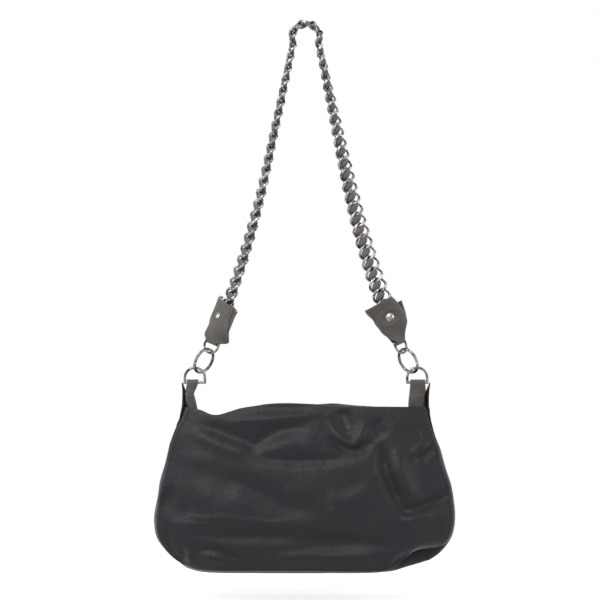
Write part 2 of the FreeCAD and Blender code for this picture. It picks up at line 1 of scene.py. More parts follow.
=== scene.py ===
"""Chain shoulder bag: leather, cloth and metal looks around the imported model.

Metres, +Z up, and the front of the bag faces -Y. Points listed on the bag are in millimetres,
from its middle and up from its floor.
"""
import json
import math

import bpy
import numpy as np
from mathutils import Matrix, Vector


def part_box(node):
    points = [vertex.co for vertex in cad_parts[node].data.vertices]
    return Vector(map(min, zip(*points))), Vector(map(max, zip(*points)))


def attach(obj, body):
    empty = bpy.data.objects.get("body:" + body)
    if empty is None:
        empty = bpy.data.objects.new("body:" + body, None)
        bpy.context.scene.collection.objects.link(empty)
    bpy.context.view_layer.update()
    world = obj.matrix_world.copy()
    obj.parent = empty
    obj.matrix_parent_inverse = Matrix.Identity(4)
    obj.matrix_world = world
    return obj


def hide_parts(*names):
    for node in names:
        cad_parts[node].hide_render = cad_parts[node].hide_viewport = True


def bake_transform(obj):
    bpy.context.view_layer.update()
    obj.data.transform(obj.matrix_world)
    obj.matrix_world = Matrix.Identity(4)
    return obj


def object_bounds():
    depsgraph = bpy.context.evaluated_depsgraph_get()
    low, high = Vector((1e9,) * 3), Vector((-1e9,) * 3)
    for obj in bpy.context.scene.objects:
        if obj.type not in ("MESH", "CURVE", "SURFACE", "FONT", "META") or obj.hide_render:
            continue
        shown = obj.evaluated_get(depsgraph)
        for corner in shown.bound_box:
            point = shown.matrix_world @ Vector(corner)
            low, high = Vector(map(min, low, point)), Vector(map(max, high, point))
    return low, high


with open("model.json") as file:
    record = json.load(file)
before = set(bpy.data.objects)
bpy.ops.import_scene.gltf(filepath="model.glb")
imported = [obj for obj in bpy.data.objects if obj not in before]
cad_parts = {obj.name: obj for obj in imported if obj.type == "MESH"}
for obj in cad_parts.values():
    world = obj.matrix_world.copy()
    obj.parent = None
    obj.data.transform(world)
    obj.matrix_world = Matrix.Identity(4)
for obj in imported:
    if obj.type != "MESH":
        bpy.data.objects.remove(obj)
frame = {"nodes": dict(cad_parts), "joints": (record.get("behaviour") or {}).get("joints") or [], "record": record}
cad_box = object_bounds()

bl_info = {
    "name": "Chain Shoulder Bag",
    "version": (1, 0, 0),
    "blender": (4, 5, 0),
    "location": "3D View > Sidebar > Chain Bag",
    "description": "Soft leather bag on a laced curb chain, built round a packed model",
    "category": "Object",
}

MM = 0.001
SIDES = {"left": -1, "right": 1}
BAG_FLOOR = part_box("base_gusset")[0].z
JOINTS = {joint["name"]: np.array(joint["pos_m"]) for joint in frame["joints"] if "pos_m" in joint}
SLOT_OF = {part["node"]: part["material_slot"] for part in frame["record"]["subparts"]}
BODY_OF = {node: body for body, nodes in frame["record"]["behaviour"]["bodies"].items() for node in nodes}


def length_property(name, description, default):
    """A length that a user may change."""
    return bpy.props.FloatProperty(name=name, description=description, default=default, unit="LENGTH")


def number_property(name, description, default, **limits):
    """A plain number that a user may change, nought or more."""
    return bpy.props.FloatProperty(name=name, description=description, default=default, min=0, **limits)


def colour_property(name, description, default):
    """A colour that a user may change."""
    return bpy.props.FloatVectorProperty(name=name, description=description, default=default, size=3,
                                         subtype="COLOR", min=0, max=1)


class BagShape(bpy.types.PropertyGroup):
    """Sizes of the soft bag."""
    leather: length_property("Leather", "Thickness of the bag's leather", 1.6 * MM)
    rim_roll: length_property("Rim roll", "Thickness of the turned edge along the mouth", 3.0 * MM)
    half_depth_belly: length_property("Belly half depth", "Half of the depth where the bag is fullest",
                                      38 * MM)
    half_depth_rim: length_property("Rim half depth", "Half of the depth of the mouth", 13.5 * MM)
    belly_height: length_property("Belly height", "Height at which the bag is fullest", 55 * MM)
    rim_height: length_property("Rim height", "Height of the mouth above the floor", 173 * MM)
    seam_share: number_property("Seam share", "Half depth at the side seams as a share of the bag's",
                                0.42, max=1, subtype="FACTOR")
    fold_depth: number_property("Fold depth", "Depth of the soft folds as a share of those in their table",
                                1.3, max=2)
    ripple: length_property("Ripple", "Height of the small ripples in the leather", 0.6 * MM)
    seam_groove: length_property("Seam groove", "Depth of the groove along a turned seam", 0.9 * MM)


class StrapShape(bpy.types.PropertyGroup):
    """Sizes of the leather on the strap."""
    lace_width: length_property("Lace width", "Width of the lace where it shows in a link", 7.4 * MM)
    lace_neck: length_property("Lace neck", "Width of the lace where it is squeezed between links", 5.0 * MM)
    lace_thickness: length_property("Lace thickness", "Thickness of the lace where it is squeezed", 1.8 * MM)
    lace_petal: length_property("Lace petal", "Thickness of the lace where it bulges out of a link", 6.2 * MM)
    lace_rise: length_property("Lace rise", "How far the lace stands off the chain's middle in a link",
                               0.7 * MM)
    lace_dip: length_property("Lace dip", "Place of the lace where links cross, below nought if behind",
                              -3.0 * MM)
    lace_slant: length_property("Lace slant", "How far the lace swings across each link", 2.2 * MM)
    lace_offset: length_property("Lace offset", "How far the lace lies off the middle of the chain",
                                 -1.2 * MM)
    tab_ply: length_property("Tab ply", "Thickness of the leather of the chain end tabs", 1.7 * MM)
    loop_ply: length_property("Loop ply", "Thickness of the leather of the D-ring loops", 1.6 * MM)
    thread: length_property("Thread", "Thickness of the sewing thread", 0.7 * MM)


class BagFinishes(bpy.types.PropertyGroup):
    """Colours of the leather, cloth and metal."""
    leather_black: colour_property("Bag leather", "Colour of the bag's leather", (0.0174, 0.016, 0.0212))
    leather_brown: colour_property("Bag leather, faded", "Colour of the bag's leather where it has faded",
                                   (0.0236, 0.0196, 0.0232))
    # Colour of the base and sides: the same leather as the panels, darker as painted shade
    leather_gusset: colour_property("Gusset leather", "Colour of the bag's base and sides",
                                    (0.0138, 0.0134, 0.0162))
    leather_scuff: colour_property("Bag leather, scuffed", "Colour of worn edges and scuffs",
                                   (0.1, 0.098, 0.1))
    leather_grey: colour_property("Tab leather", "Colour of the chain end tabs", (0.085, 0.075, 0.07))
    lace_grey: colour_property("Lace leather", "Colour of the lace in the chain", (0.165, 0.152, 0.146))
    dark_nickel: colour_property("Dark nickel", "Colour of the chain and rivets", (0.27, 0.264, 0.262))
    ring_nickel: colour_property("Ring nickel", "Colour of the rings and clips", (0.19, 0.188, 0.188))
    spring_steel: colour_property("Spring steel", "Colour of the clips' pins and springs", (0.4, 0.4, 0.4))
    lining_cloth: colour_property("Lining cloth", "Colour of the lining", (0.03, 0.03, 0.033))
    base_board: colour_property("Base board", "Colour of the board in the base", (0.03, 0.027, 0.025))
    zip_tape: colour_property("Zip tape", "Colour of the zip's tapes", (0.035, 0.033, 0.033))
    zip_metal: colour_property("Zip metal", "Colour of the zip's teeth and slider", (0.17, 0.16, 0.15))
    thread: colour_property("Thread", "Colour of the sewing thread", (0.12, 0.11, 0.1))


class BagStage(bpy.types.PropertyGroup):
    """Camera, floor and light."""
    camera_distance: length_property("Camera distance", "Distance of the camera from the bag", 2.0)
    picture_width: length_property("Picture width", "Width of the view at the bag", 0.6246)
    picture_middle: bpy.props.FloatVectorProperty(
        name="Picture middle", description="Point that the camera looks at", default=(-0.0063, 0, -0.2824),
        size=3, subtype="XYZ", unit="LENGTH")
    floor_drop: length_property("Floor drop", "Gap between the bag and the floor", 0.03)
    floor_glow: number_property("Floor whiteness", "White added to the floor where it is seen or mirrored",
                                0.4, max=1)
    floor_colour: colour_property("Floor", "Colour of the floor", (0.9, 0.9, 0.9))
    lamp_power: number_property("Lamp power", "Power of the large soft lamp in watts", 23)
    fill_power: number_property("Fill power", "Power of the side lamps in watts", 7)
    back_power: number_property("Back power", "Power of the lamp behind in watts", 20)
    sky_strength: number_property("Surrounding light", "Strength of the light from all round", 0.34)


class Finish:
    """A procedural finish, its pattern laid in the part's own coordinates."""

    def __init__(self, name, colour, roughness, metallic=0.0, specular=0.5):
        self.material = bpy.data.materials.new(name)
        self.material.use_nodes = True
        self.tree = self.material.node_tree
        self.shader = self.tree.nodes["Principled BSDF"]
        self.shader.inputs["Base Color"].default_value = (*colour, 1)
        self.shader.inputs["Roughness"].default_value = roughness
        self.shader.inputs["Metallic"].default_value = metallic
        self.shader.inputs["Specular IOR Level"].default_value = specular
        self.place = self.node("ShaderNodeTexCoord").outputs["Object"]

    def node(self, kind, inputs=None, **settings):
        """Add a node, with values or sockets for its inputs."""
        made = self.tree.nodes.new(kind)
        for key, value in settings.items():
            setattr(made, key, value)
        for key, value in (inputs or {}).items():
            self.feed(made.inputs[key], value)
        return made

    def feed(self, socket, value):
        """Set a socket's value or link it."""
        if isinstance(value, bpy.types.NodeSocket):
            self.tree.links.new(value, socket)
        else:
            socket.default_value = value

    def noise(self, scale, detail=4.0, rough=0.5, stretch=None):
        """Cloudy pattern, scale in patches to the metre."""
        place = self.place if stretch is None else self.stretched(stretch)
        made = self.node("ShaderNodeTexNoise", {"Vector": place, "Scale": scale, "Detail": detail,
                                                "Roughness": rough})
        return made.outputs["Fac"]

    def stretched(self, scales):
        """The part's coordinates, scaled along each axis."""
        return self.node("ShaderNodeMapping", {"Vector": self.place, "Scale": scales}).outputs["Vector"]

    def cells(self, scale):
        """Cell pattern by distance to the cells' edges, scale in cells to the metre."""
        inputs = {"Vector": self.place, "Scale": scale}
        return self.node("ShaderNodeTexVoronoi", inputs, feature="DISTANCE_TO_EDGE").outputs["Distance"]

    def waves(self, scale, direction):
        """Even ridges along an axis."""
        inputs = {"Vector": self.place, "Scale": scale}
        return self.node("ShaderNodeTexWave", inputs, bands_direction=direction).outputs["Fac"]

    def attribute(self, name):
        """A value kept on the mesh's points."""
        return self.node("ShaderNodeAttribute", attribute_name=name).outputs["Fac"]

    def spread(self, value, low, high, start=0.0, end=1.0):
        """Map a range of one value on to another."""
        made = self.node("ShaderNodeMapRange", {"Value": value, "From Min": low, "From Max": high,
                                                "To Min": start, "To Max": end})
        return made.outputs["Result"]

    def math(self, operation, first, second):
        """One sum on two values."""
        return self.node("ShaderNodeMath", {0: first, 1: second}, operation=operation).outputs["Value"]

    def mixed(self, share, first, second):
        """Colour between two others."""
        made = self.node("ShaderNodeMix", data_type="RGBA")
        self.feed(made.inputs[0], share)
        for socket, colour in ((made.inputs[6], first), (made.inputs[7], second)):
            self.feed(socket, colour if isinstance(colour, bpy.types.NodeSocket) else (*colour, 1))
        return made.outputs[2]

    def bump(self, height, strength, distance, under=None):
        """Surface relief from a height pattern."""
        inputs = {"Height": height, "Strength": strength, "Distance": distance}
        if under is not None:
            inputs["Normal"] = under
        return self.node("ShaderNodeBump", inputs).outputs["Normal"]

    def set(self, colour=None, roughness=None, normal=None):
        """Link the finished patterns to the shader."""
        for name, socket in (("Base Color", colour), ("Roughness", roughness), ("Normal", normal)):
            if socket is not None:
                self.tree.links.new(socket, self.shader.inputs[name])
        return self.material


def scaled(colour, share):
    """A colour made darker or lighter."""
    return tuple(share * level for level in colour)


def leather_finish(name, colour, faded, scuffed, grain, roughness, specular):
    """Leather with a pebbled grain, cloudy fading and scuffs where the mesh says it is worn."""
    made = Finish(name, colour, roughness, specular=specular)
    made.shader.inputs["Sheen Weight"].default_value = 0.1
    made.shader.inputs["Sheen Roughness"].default_value = 0.35
    fine = made.noise(grain * 0.55, 3, 0.6)
    clouded = made.mixed(made.spread(made.noise(14, 5, 0.6), 0.35, 0.7), colour, faded)
    speckled = made.mixed(made.spread(fine, 0.3, 0.75, 0, 0.35), clouded, scaled(colour, 0.55))
    specks = made.spread(made.noise(grain * 0.8, 2, 0.7), 0.42, 0.62)
    worn = made.math("MULTIPLY", made.attribute("wear"), specks)
    shade = made.mixed(worn, speckled, scuffed)
    pebble = made.spread(made.cells(grain), 0.0, 0.12)
    crumpled = made.bump(made.noise(70, 3, 0.5), 0.3, 0.0025)
    creased = made.bump(made.noise(190, 4, 0.6), 0.38, 0.0012, crumpled)
    relief = made.bump(pebble, 0.25, 0.0002, creased)
    gloss = made.spread(fine, 0.25, 0.75, roughness - 0.07, roughness + 0.1)
    return made.set(shade, gloss, relief)


def metal_finish(name, colour, roughness, patches=160, edge=1.0):
    """Plated metal with faint rubbing marks, bright and dark patches of colour that are partly worn and oxidised
    plating and partly painted reflections, and a tint where it turns away.
    """
    made = Finish(name, colour, roughness, metallic=1.0)
    made.shader.inputs["Specular Tint"].default_value = (edge, edge, edge, 1)
    bright_patch_noise = made.noise(patches, 4, 0.6)
    marks = made.noise(900, 3, 0.7, stretch=(1, 1, 0.25))
    # Bright patches at 1.7 times and dark ones at 0.3 times the colour: partly worn and oxidised plating, partly
    # painted reflections of lighter and darker surroundings
    worn_and_painted_glints = made.mixed(made.spread(bright_patch_noise, 0.42, 0.58), scaled(colour, 1.7), colour)
    oxide_and_painted_dark_share = made.spread(made.noise(1.5 * patches, 3, 0.6), 0.5, 0.62)
    shade = made.mixed(oxide_and_painted_dark_share, worn_and_painted_glints, scaled(colour, 0.3))
    gloss = made.spread(marks, 0.3, 0.75, roughness * 0.7, roughness * 1.5)
    return made.set(shade, gloss, made.bump(marks, 0.06, 0.0002))


def cloth_finish(name, colour, threads, roughness):
    """Plain woven cloth."""
    made = Finish(name, colour, roughness, specular=0.2)
    weave = made.math("MAXIMUM", made.waves(threads, "X"), made.waves(threads, "Z"))
    patchy = made.spread(made.noise(60, 4), 0.3, 0.7, 0.0, 0.6)
    shade = made.mixed(patchy, colour, scaled(colour, 1.8))
    woven = made.mixed(made.spread(weave, 0, 1, 0.5, 0), shade, scaled(colour, 0.4))
    return made.set(woven, None, made.bump(weave, 0.5, 0.0003))


def board_finish(name, colour):
    """Pressed fibre board."""
    made = Finish(name, colour, 0.8, specular=0.2)
    fibres = made.noise(300, 6, 0.7, stretch=(0.3, 1, 1))
    shade = made.mixed(made.spread(fibres, 0.35, 0.7), colour, scaled(colour, 0.6))
    return made.set(shade, None, made.bump(fibres, 0.3, 0.0004))


def thread_finish(name, colour):
    """Twisted sewing thread."""
    made = Finish(name, colour, 0.6, specular=0.3)
    twist = made.noise(1800, 2)
    return made.set(made.mixed(twist, colour, scaled(colour, 0.5)), None, made.bump(twist, 0.4, 0.0002))


# Colours of worn leather on the strap, and the finishes made so far
TAB_SCUFF = (0.24, 0.23, 0.22)
LACE_SCUFF = (0.36, 0.35, 0.34)
finishes = {}


def finish_of(key):
    """The finish of a kind of piece, made the first time that it is asked for."""
    if key in finishes:
        return finishes[key]
    colours = bpy.context.scene.bag_finishes
    colour = tuple(getattr(colours, key))
    faded = tuple(colours.leather_brown)
    scuff = tuple(colours.leather_scuff)
    dark, pale, paler = (scaled(colour, share) for share in (0.7, 1.25, 1.3))
    # Leather: grains to the metre, roughness, shine. Metal: roughness, patches to the metre, edge tint
    makers = {
        "leather_black": lambda: leather_finish(key, colour, faded, scuff, 900, 0.38, 0.21),
        # The base and sides: the bag's leather, its colour darker as painted shade
        "leather_gusset": lambda: leather_finish(key, colour, paler, scuff, 900, 0.5, 0.12),
        "leather_grey": lambda: leather_finish(key, colour, pale, TAB_SCUFF, 1100, 0.48, 0.36),
        "lace_grey": lambda: leather_finish(key, colour, dark, LACE_SCUFF, 1500, 0.6, 0.3),
        "dark_nickel": lambda: metal_finish(key, colour, 0.15, 160, 0.6),
        "ring_nickel": lambda: metal_finish(key, colour, 0.13, 70, 0.4),
        "spring_steel": lambda: metal_finish(key, colour, 0.3),
        "zip_metal": lambda: metal_finish(key, colour, 0.32),
        "lining_cloth": lambda: cloth_finish(key, colour, 500, 0.85),
        "zip_tape": lambda: cloth_finish(key, colour, 420, 0.8),
        "base_board": lambda: board_finish(key, colour),
        "thread": lambda: thread_finish(key, colour),
    }
    finishes[key] = makers[key]()
    return finishes[key]


LINE_STEPS = 24


def smooth_line(points, count):
    """Points along a smooth line through given ones, evenly spaced or at an array of shares."""
    placed = np.array(points, float)
    ends = np.vstack([2 * placed[0] - placed[1], placed, 2 * placed[-1] - placed[-2]])
    share = np.linspace(0, 1, LINE_STEPS, endpoint=False)[:, None]
    runs = []
    for index in range(len(placed) - 1):
        before, start, end, after = ends[index:index + 4]
        bend = 2 * before - 5 * start + 4 * end - after
        twist = 3 * start - before - 3 * end + after
        runs.append(0.5 * (2 * start + (end - before) * share + bend * share ** 2 + twist * share ** 3))
    dense = np.vstack(runs + [placed[-1:]])
    along = np.concatenate([[0], np.cumsum(np.linalg.norm(np.diff(dense, axis=0), axis=1))])
    where = count if isinstance(count, np.ndarray) else np.linspace(0, 1, count)
    return np.column_stack([np.interp(where * along[-1], along, column) for column in dense.T])


def ease(share):
    """Smooth step from 0 to 1."""
    share = np.clip(share, 0, 1)
    return share * share * (3 - 2 * share)


def between(start, end, share):
    """Value at a share of the way from one to another."""
    return start + (end - start) * share


def ridge(gap, place, width):
    """Height of a rounded ridge, 1 at its place."""
    return np.exp(-((gap - place) / width) ** 2)


def edge_spacing(count, closeness=0.6):
    """Shares from 0 to 1 that lie closer together at both ends."""
    even = np.linspace(0, 1, count)
    return even - closeness * np.sin(2 * math.pi * even) / (2 * math.pi)


def surface_normals(grid):
    """Unit normals of a grid of points, to the side that its columns and rows turn to."""
    normals = np.cross(np.gradient(grid, axis=1), np.gradient(grid, axis=0))
    return normals / np.maximum(np.linalg.norm(normals, axis=-1, keepdims=True), 1e-12)


def evened(normals, passes=10):
    """Unit normals averaged with their neighbours, so that the inside of a tight fold stays inside."""
    for _ in range(passes):
        wide = np.pad(normals, ((1, 1), (1, 1), (0, 0)), "edge")
        normals = (wide[1:-1, 1:-1] + wide[:-2, 1:-1] + wide[2:, 1:-1] + wide[1:-1, :-2] + wide[1:-1, 2:]) / 5
    return normals / np.linalg.norm(normals, axis=-1, keepdims=True)


def facing_up(grid):
    """The grid, its columns turned round if its outside faces down."""
    return grid[:, ::-1] if surface_normals(grid)[..., 2].mean() < 0 else grid


def turned_to(grid, row, direction):
    """The grid, its columns turned round if one row of it faces away from a direction, and its normals."""
    normals = surface_normals(grid)
    if np.sum(normals[row] * direction) < 0:
        grid = grid[:, ::-1]
        normals = surface_normals(grid)
    return grid, normals


def laid_on(places, marks, values, blur):
    """Values at places in a plane, each a mean of those at the marks near it."""
    gap = (places[0][..., None] - marks[0]) ** 2 + (places[1][..., None] - marks[1]) ** 2
    weight = 1 / (gap + blur ** 2) ** 2
    return (weight * values).sum(-1) / weight.sum(-1)


def squares(index):
    """Squares between points whose numbers stand in a grid."""
    corners = np.stack([index[:-1, :-1], index[:-1, 1:], index[1:, 1:], index[1:, :-1]], -1)
    return corners.reshape(-1, 4)


def tube_faces(rows, around):
    """Squares round a tube, whose points go round it row by row."""
    index = np.arange(rows * around).reshape(rows, around)
    return squares(np.concatenate([index, index[:, :1]], 1))


def sheet_faces(rows, columns):
    """Faces of a closed sheet whose outside and inside are grids of points."""
    size = rows * columns
    outside = np.arange(size).reshape(rows, columns)
    border = np.concatenate([outside[0, :], outside[1:, -1], outside[-1, -2::-1], outside[-2:0:-1, 0]])
    following = np.roll(border, -1)
    edge = np.stack([following, border, border + size, following + size], -1)
    return np.concatenate([squares(outside), squares(outside + size)[:, ::-1], edge])


class Piece:
    """Points and faces of one piece while it is put together."""

    def __init__(self):
        self.points = []
        self.faces = []
        self.wear = []
        self.count = 0

    def add(self, points, faces, wear=None):
        """Add points, and faces that count from the first of them."""
        points = points.reshape(-1, 3)
        self.faces.append(np.asarray(faces) + self.count)
        self.points.append(points)
        self.wear.append(np.zeros(len(points)) if wear is None else np.asarray(wear).ravel())
        self.count += len(points)

    def add_plies(self, outside, inside, worn_outside, worn_inside):
        """Add a closed sheet from the grids of its two sides and the wear of each."""
        points = np.concatenate([outside.reshape(-1, 3), inside.reshape(-1, 3)])
        wear = np.concatenate([worn_outside.ravel(), worn_inside.ravel()])
        self.add(points, sheet_faces(*outside.shape[:2]), wear)

    def add_sheet(self, outside, thickness, wear=None, normals=None):
        """Add a closed sheet from the grid of its outside, its thickness a number or one for each point."""
        normals = surface_normals(outside) if normals is None else normals
        depth = np.broadcast_to(np.asarray(thickness, float), outside.shape[:2])[..., None]
        unworn = np.zeros(outside.shape[:2])
        self.add_plies(outside, outside - normals * depth, unworn if wear is None else wear, unworn)

    def make(self, name, finish, body, slot, *nodes):
        """Make the Blender object, which moves with a body, if one is named, and stands for CAD nodes."""
        mesh = bpy.data.meshes.new(name)
        faces = [face.tolist() for group in self.faces for face in group]
        mesh.from_pydata(np.concatenate(self.points).tolist(), [], faces)
        mesh.validate()
        worn = mesh.attributes.new("wear", "FLOAT", "POINT")
        worn.data.foreach_set("value", np.concatenate(self.wear).astype(np.float32))
        mesh.polygons.foreach_set("use_smooth", [True] * len(mesh.polygons))
        mesh.materials.append(finish)
        piece = bpy.data.objects.new(name, mesh)
        bpy.context.scene.collection.objects.link(piece)
        if body:
            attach(piece, body)
        if nodes:
            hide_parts(*nodes)
        return piece


def soften(piece, width, angle=50, even=False):
    """Round off the edges of a piece that are sharper than an angle in degrees."""
    rounded = piece.modifiers.new("rounded_edges", "BEVEL")
    rounded.width = width
    rounded.segments = 2
    rounded.limit_method = "ANGLE"
    rounded.angle_limit = math.radians(angle)
    rounded.harden_normals = even


def finish_node(node, finish, bevel=0.0):
    """Give a CAD node its finish, smooth shading and softened edges."""
    target = frame["nodes"][node]
    target.data.materials.clear()
    target.data.materials.append(finish_of(finish))
    target.data.polygons.foreach_set("use_smooth", [True] * len(target.data.polygons))
    if bevel:
        soften(target, bevel, 30, True)


# A stitch: places along it from end to end, how thick it is there, and points round it
STITCH_PLACES = (-1, -0.8, -0.3, 0.3, 0.8, 1)
STITCH_GIRTHS = (0.25, 0.8, 1, 1, 0.8, 0.25)
STITCH_AROUND = 8


def along_line(place, steps, values):
    """Value at a place along a line, from those at its points."""
    return np.array([np.interp(place, steps, column) for column in values.T])


def add_stitches(piece, line, normals, length, gap, radius):
    """Lay small rounded stitches along a line on a surface."""
    steps = np.concatenate([[0], np.cumsum(np.linalg.norm(np.diff(line, axis=0), axis=1))])
    count = max(1, int((steps[-1] + gap) / (length + gap)))
    first = (steps[-1] - count * length - (count - 1) * gap) / 2
    turns = np.linspace(0, 2 * math.pi, STITCH_AROUND, endpoint=False)[:, None]
    sides = tube_faces(len(STITCH_PLACES), STITCH_AROUND)[:, [0, 3, 2, 1]]
    cap = np.arange(STITCH_AROUND)[None]
    for index in range(count):
        place = first + index * (length + gap) + length / 2
        start, middle, end = (along_line(place + shift * length / 2, steps, line) for shift in (-1, 0, 1))
        up = along_line(place, steps, normals)
        along = (end - start) / np.linalg.norm(end - start)
        side = np.cross(along, up)
        rings = []
        for share, girth in zip(STITCH_PLACES, STITCH_GIRTHS):
            centre = middle + along * (share * length / 2) + up * (radius * (0.45 - 0.5 * share * share))
            rings.append(centre + radius * girth * (np.cos(turns) * side + np.sin(turns) * up))
        piece.add(np.array(rings), sides)
        piece.faces.append(cap + piece.count - len(STITCH_PLACES) * STITCH_AROUND)
        piece.faces.append(cap[:, ::-1] + piece.count - STITCH_AROUND)


def make_stitches(name, lines, length=2.6 * MM, gap=0.9 * MM):
    """Thread on the bag, one piece of stitches along several lines, each with its surface's normals."""
    piece = Piece()
    for line, normals in lines:
        add_stitches(piece, line, normals, length, gap, bpy.context.scene.strap_shape.thread / 2)
    return piece.make(name, finish_of("thread"), "bag", "leather_black")


# Outline of the hanging bag, from the loops down one side, along the base and up the other side
OUTLINE = {
    "left": [(-129.6, 196.5), (-127.2, 183), (-127, 170.5), (-130.5, 160.5), (-134.5, 153.5),
             (-139.5, 141.5), (-143.5, 127), (-147.5, 110), (-152, 91.5), (-155.3, 70), (-156.8, 54),
             (-155.3, 40), (-150, 29.2), (-141, 18.3), (-130, 9.5)],
    "base": [(-130, 9.5), (-121, 4), (-106, 1), (-60, 0.2), (0, 0), (50, 0.1), (82, 0.8), (100, 4), (114, 8),
             (127.5, 12.5)],
    "right": [(127.5, 12.5), (138, 19), (146.5, 28.3), (152.3, 40), (154.4, 56), (153.6, 73), (151, 91),
              (146.5, 104.5), (142.5, 117), (138.8, 130), (134.3, 142), (129.5, 157), (126.6, 170.5),
              (127.2, 183), (129.6, 196.5)],
}
# The front seam lies just behind the outline, and is rolled up off the base at the right
FRONT_SEAM = {
    "left": [(-126, 171), (-130, 160.5), (-134, 153), (-138.8, 141), (-142.8, 127), (-146.7, 110),
             (-151.2, 91.5), (-154.5, 70), (-156, 54), (-154.5, 40.4), (-149.3, 29.9), (-140.5, 19.3),
             (-129.6, 10.7)],
    "base": [(-129.6, 10.7), (-120.6, 5), (-106, 2), (-90, 1.5), (-60, 1.5), (0, 1.5), (50, 1.5), (68, 1.7),
             (77, 3.2), (83.4, 7), (89, 13.5), (96, 19), (104, 22.4), (113, 24.4), (123, 25.4)],
    "right": [(123, 25.4), (135, 27.4), (144.4, 31.4), (151.3, 41.5), (153.6, 56), (152.8, 73), (150.2, 91),
              (145.6, 104.5), (141.6, 117), (138.1, 130), (133.7, 142), (129, 157), (125.6, 171)],
}
BACK_SEAM = {
    "left": [(-126, 170.5), (-134, 153), (-142.6, 127), (-151.2, 91.5), (-156, 54), (-154.5, 40.4),
             (-149.3, 29.9), (-140.5, 19.3), (-129.6, 10.7)],
    "base": [(-129.6, 10.7), (-120.6, 5), (-106, 2), (-90, 1.5), (-60, 1.5), (0, 1.5), (60, 1.5), (92, 2.2),
             (106, 5), (116, 8.5), (126, 13)],
    "right": [(126, 13), (137, 19.5), (145.6, 28.8), (151.4, 40.4), (153.6, 56), (150.2, 91), (141.2, 118),
              (132.2, 147), (125.6, 170.5)],
}
FRONT_RIM = [(-126, 171), (-115, 168), (-104, 165.2), (-97, 163.2), (-90, 163.4), (-80, 166.4), (-68, 170),
             (-52, 172.6), (-36, 174.3), (-19, 174.8), (4, 174), (28, 172.9), (50, 172), (68, 171.6),
             (85, 171.5), (104, 171.2), (125.6, 171)]
BACK_RIM = [(-126, 170.5), (-110, 166.8), (-97, 161), (-86, 162), (-72, 166), (-52, 170), (-25, 172),
            (4, 172.6), (28, 173.4), (40, 172.8), (60, 171), (90, 170.2), (125.6, 170.5)]

# Folds of the front panel: points along the fold, half width and height, valleys below nought
FRONT_FOLDS = [
    ([(-86, 158), (-60, 159), (-18, 162), (19, 166)], 6, 2.4),
    ([(-118, 157), (-107, 152), (-94, 148), (-64, 137), (-53, 133.5), (-39, 142), (-18, 150), (4, 152)],
     8.5, -3.7),
    ([(-124, 148), (-95, 138), (-64, 127), (-48, 125)], 8, 2.2),
    ([(-70, 125), (-29, 118.5), (12, 118), (54, 121)], 5.5, -2.6),
    ([(-40, 134), (-8, 135), (18, 132)], 9, 1.6),
    ([(35, 173), (41, 158), (46, 144)], 8, -3.4),
    ([(22, 159), (30, 146), (43, 136), (51, 135), (57, 146), (63, 160)], 3.6, 2.2),
    ([(20, 143), (38, 131), (51, 127.5), (65, 134), (76, 145)], 6.5, -3.5),
    ([(66, 158), (74, 148), (79, 138)], 8, -2.2),
    ([(74, 140), (78, 124), (83, 104), (91, 86), (99, 70), (105, 60)], 8.5, -5.8),
    ([(90, 132), (94, 112), (99, 96), (110, 76)], 9, 2.6),
    ([(86, 76), (97, 69), (106, 67), (121, 71.5), (142, 81), (154, 89)], 5.5, -4.0),
    ([(92, 58), (112, 59), (134, 69)], 7, 2.2),
    ([(113, 113), (118, 119), (126, 125), (136, 131)], 4.5, -2.6),
    ([(108, 121), (116, 129), (128, 135)], 5, 1.6),
    ([(-92, 106), (-47, 85.5), (-18, 71), (22, 66)], 10, -3.4),
    ([(8, 66), (43, 81), (66, 91)], 11, 1.8),
    ([(28, 86), (45, 90), (62, 99)], 8, -1.2),
    ([(-146, 92), (-136, 72), (-112, 62)], 11, -3.0),
    ([(-118, 110), (-96, 100), (-70, 80)], 13, -1.6),
    ([(-132, 121), (-108, 118), (-84, 110)], 12, 1.1),
    ([(-124, 54), (-95, 60), (-76, 59), (-51, 56.5), (-31, 56), (-12, 61)], 2.6, 1.0),
    ([(-118, 50), (-90, 54), (-60, 51)], 3, -0.9),
    ([(-142, 46), (-80, 42), (-30, 41.5), (23, 36), (116, 33)], 8, -3.9),
    ([(-55, 9), (-31, 17), (2, 20), (43, 20), (82, 21), (112, 30)], 6.5, 2.0),
    ([(-40, 27), (10, 28), (60, 27)], 6, -1.4),
    ([(-124, 26), (-100, 27), (-76, 21), (-58, 12)], 4.2, -2.4),
    ([(-112, 18), (-95, 20), (-78, 14)], 6, 2.0),
    ([(-124, 31), (-127, 20), (-129, 11)], 4, -1.8),
    ([(-117, 30), (-120, 20), (-121, 12)], 3.6, 1.6),
]
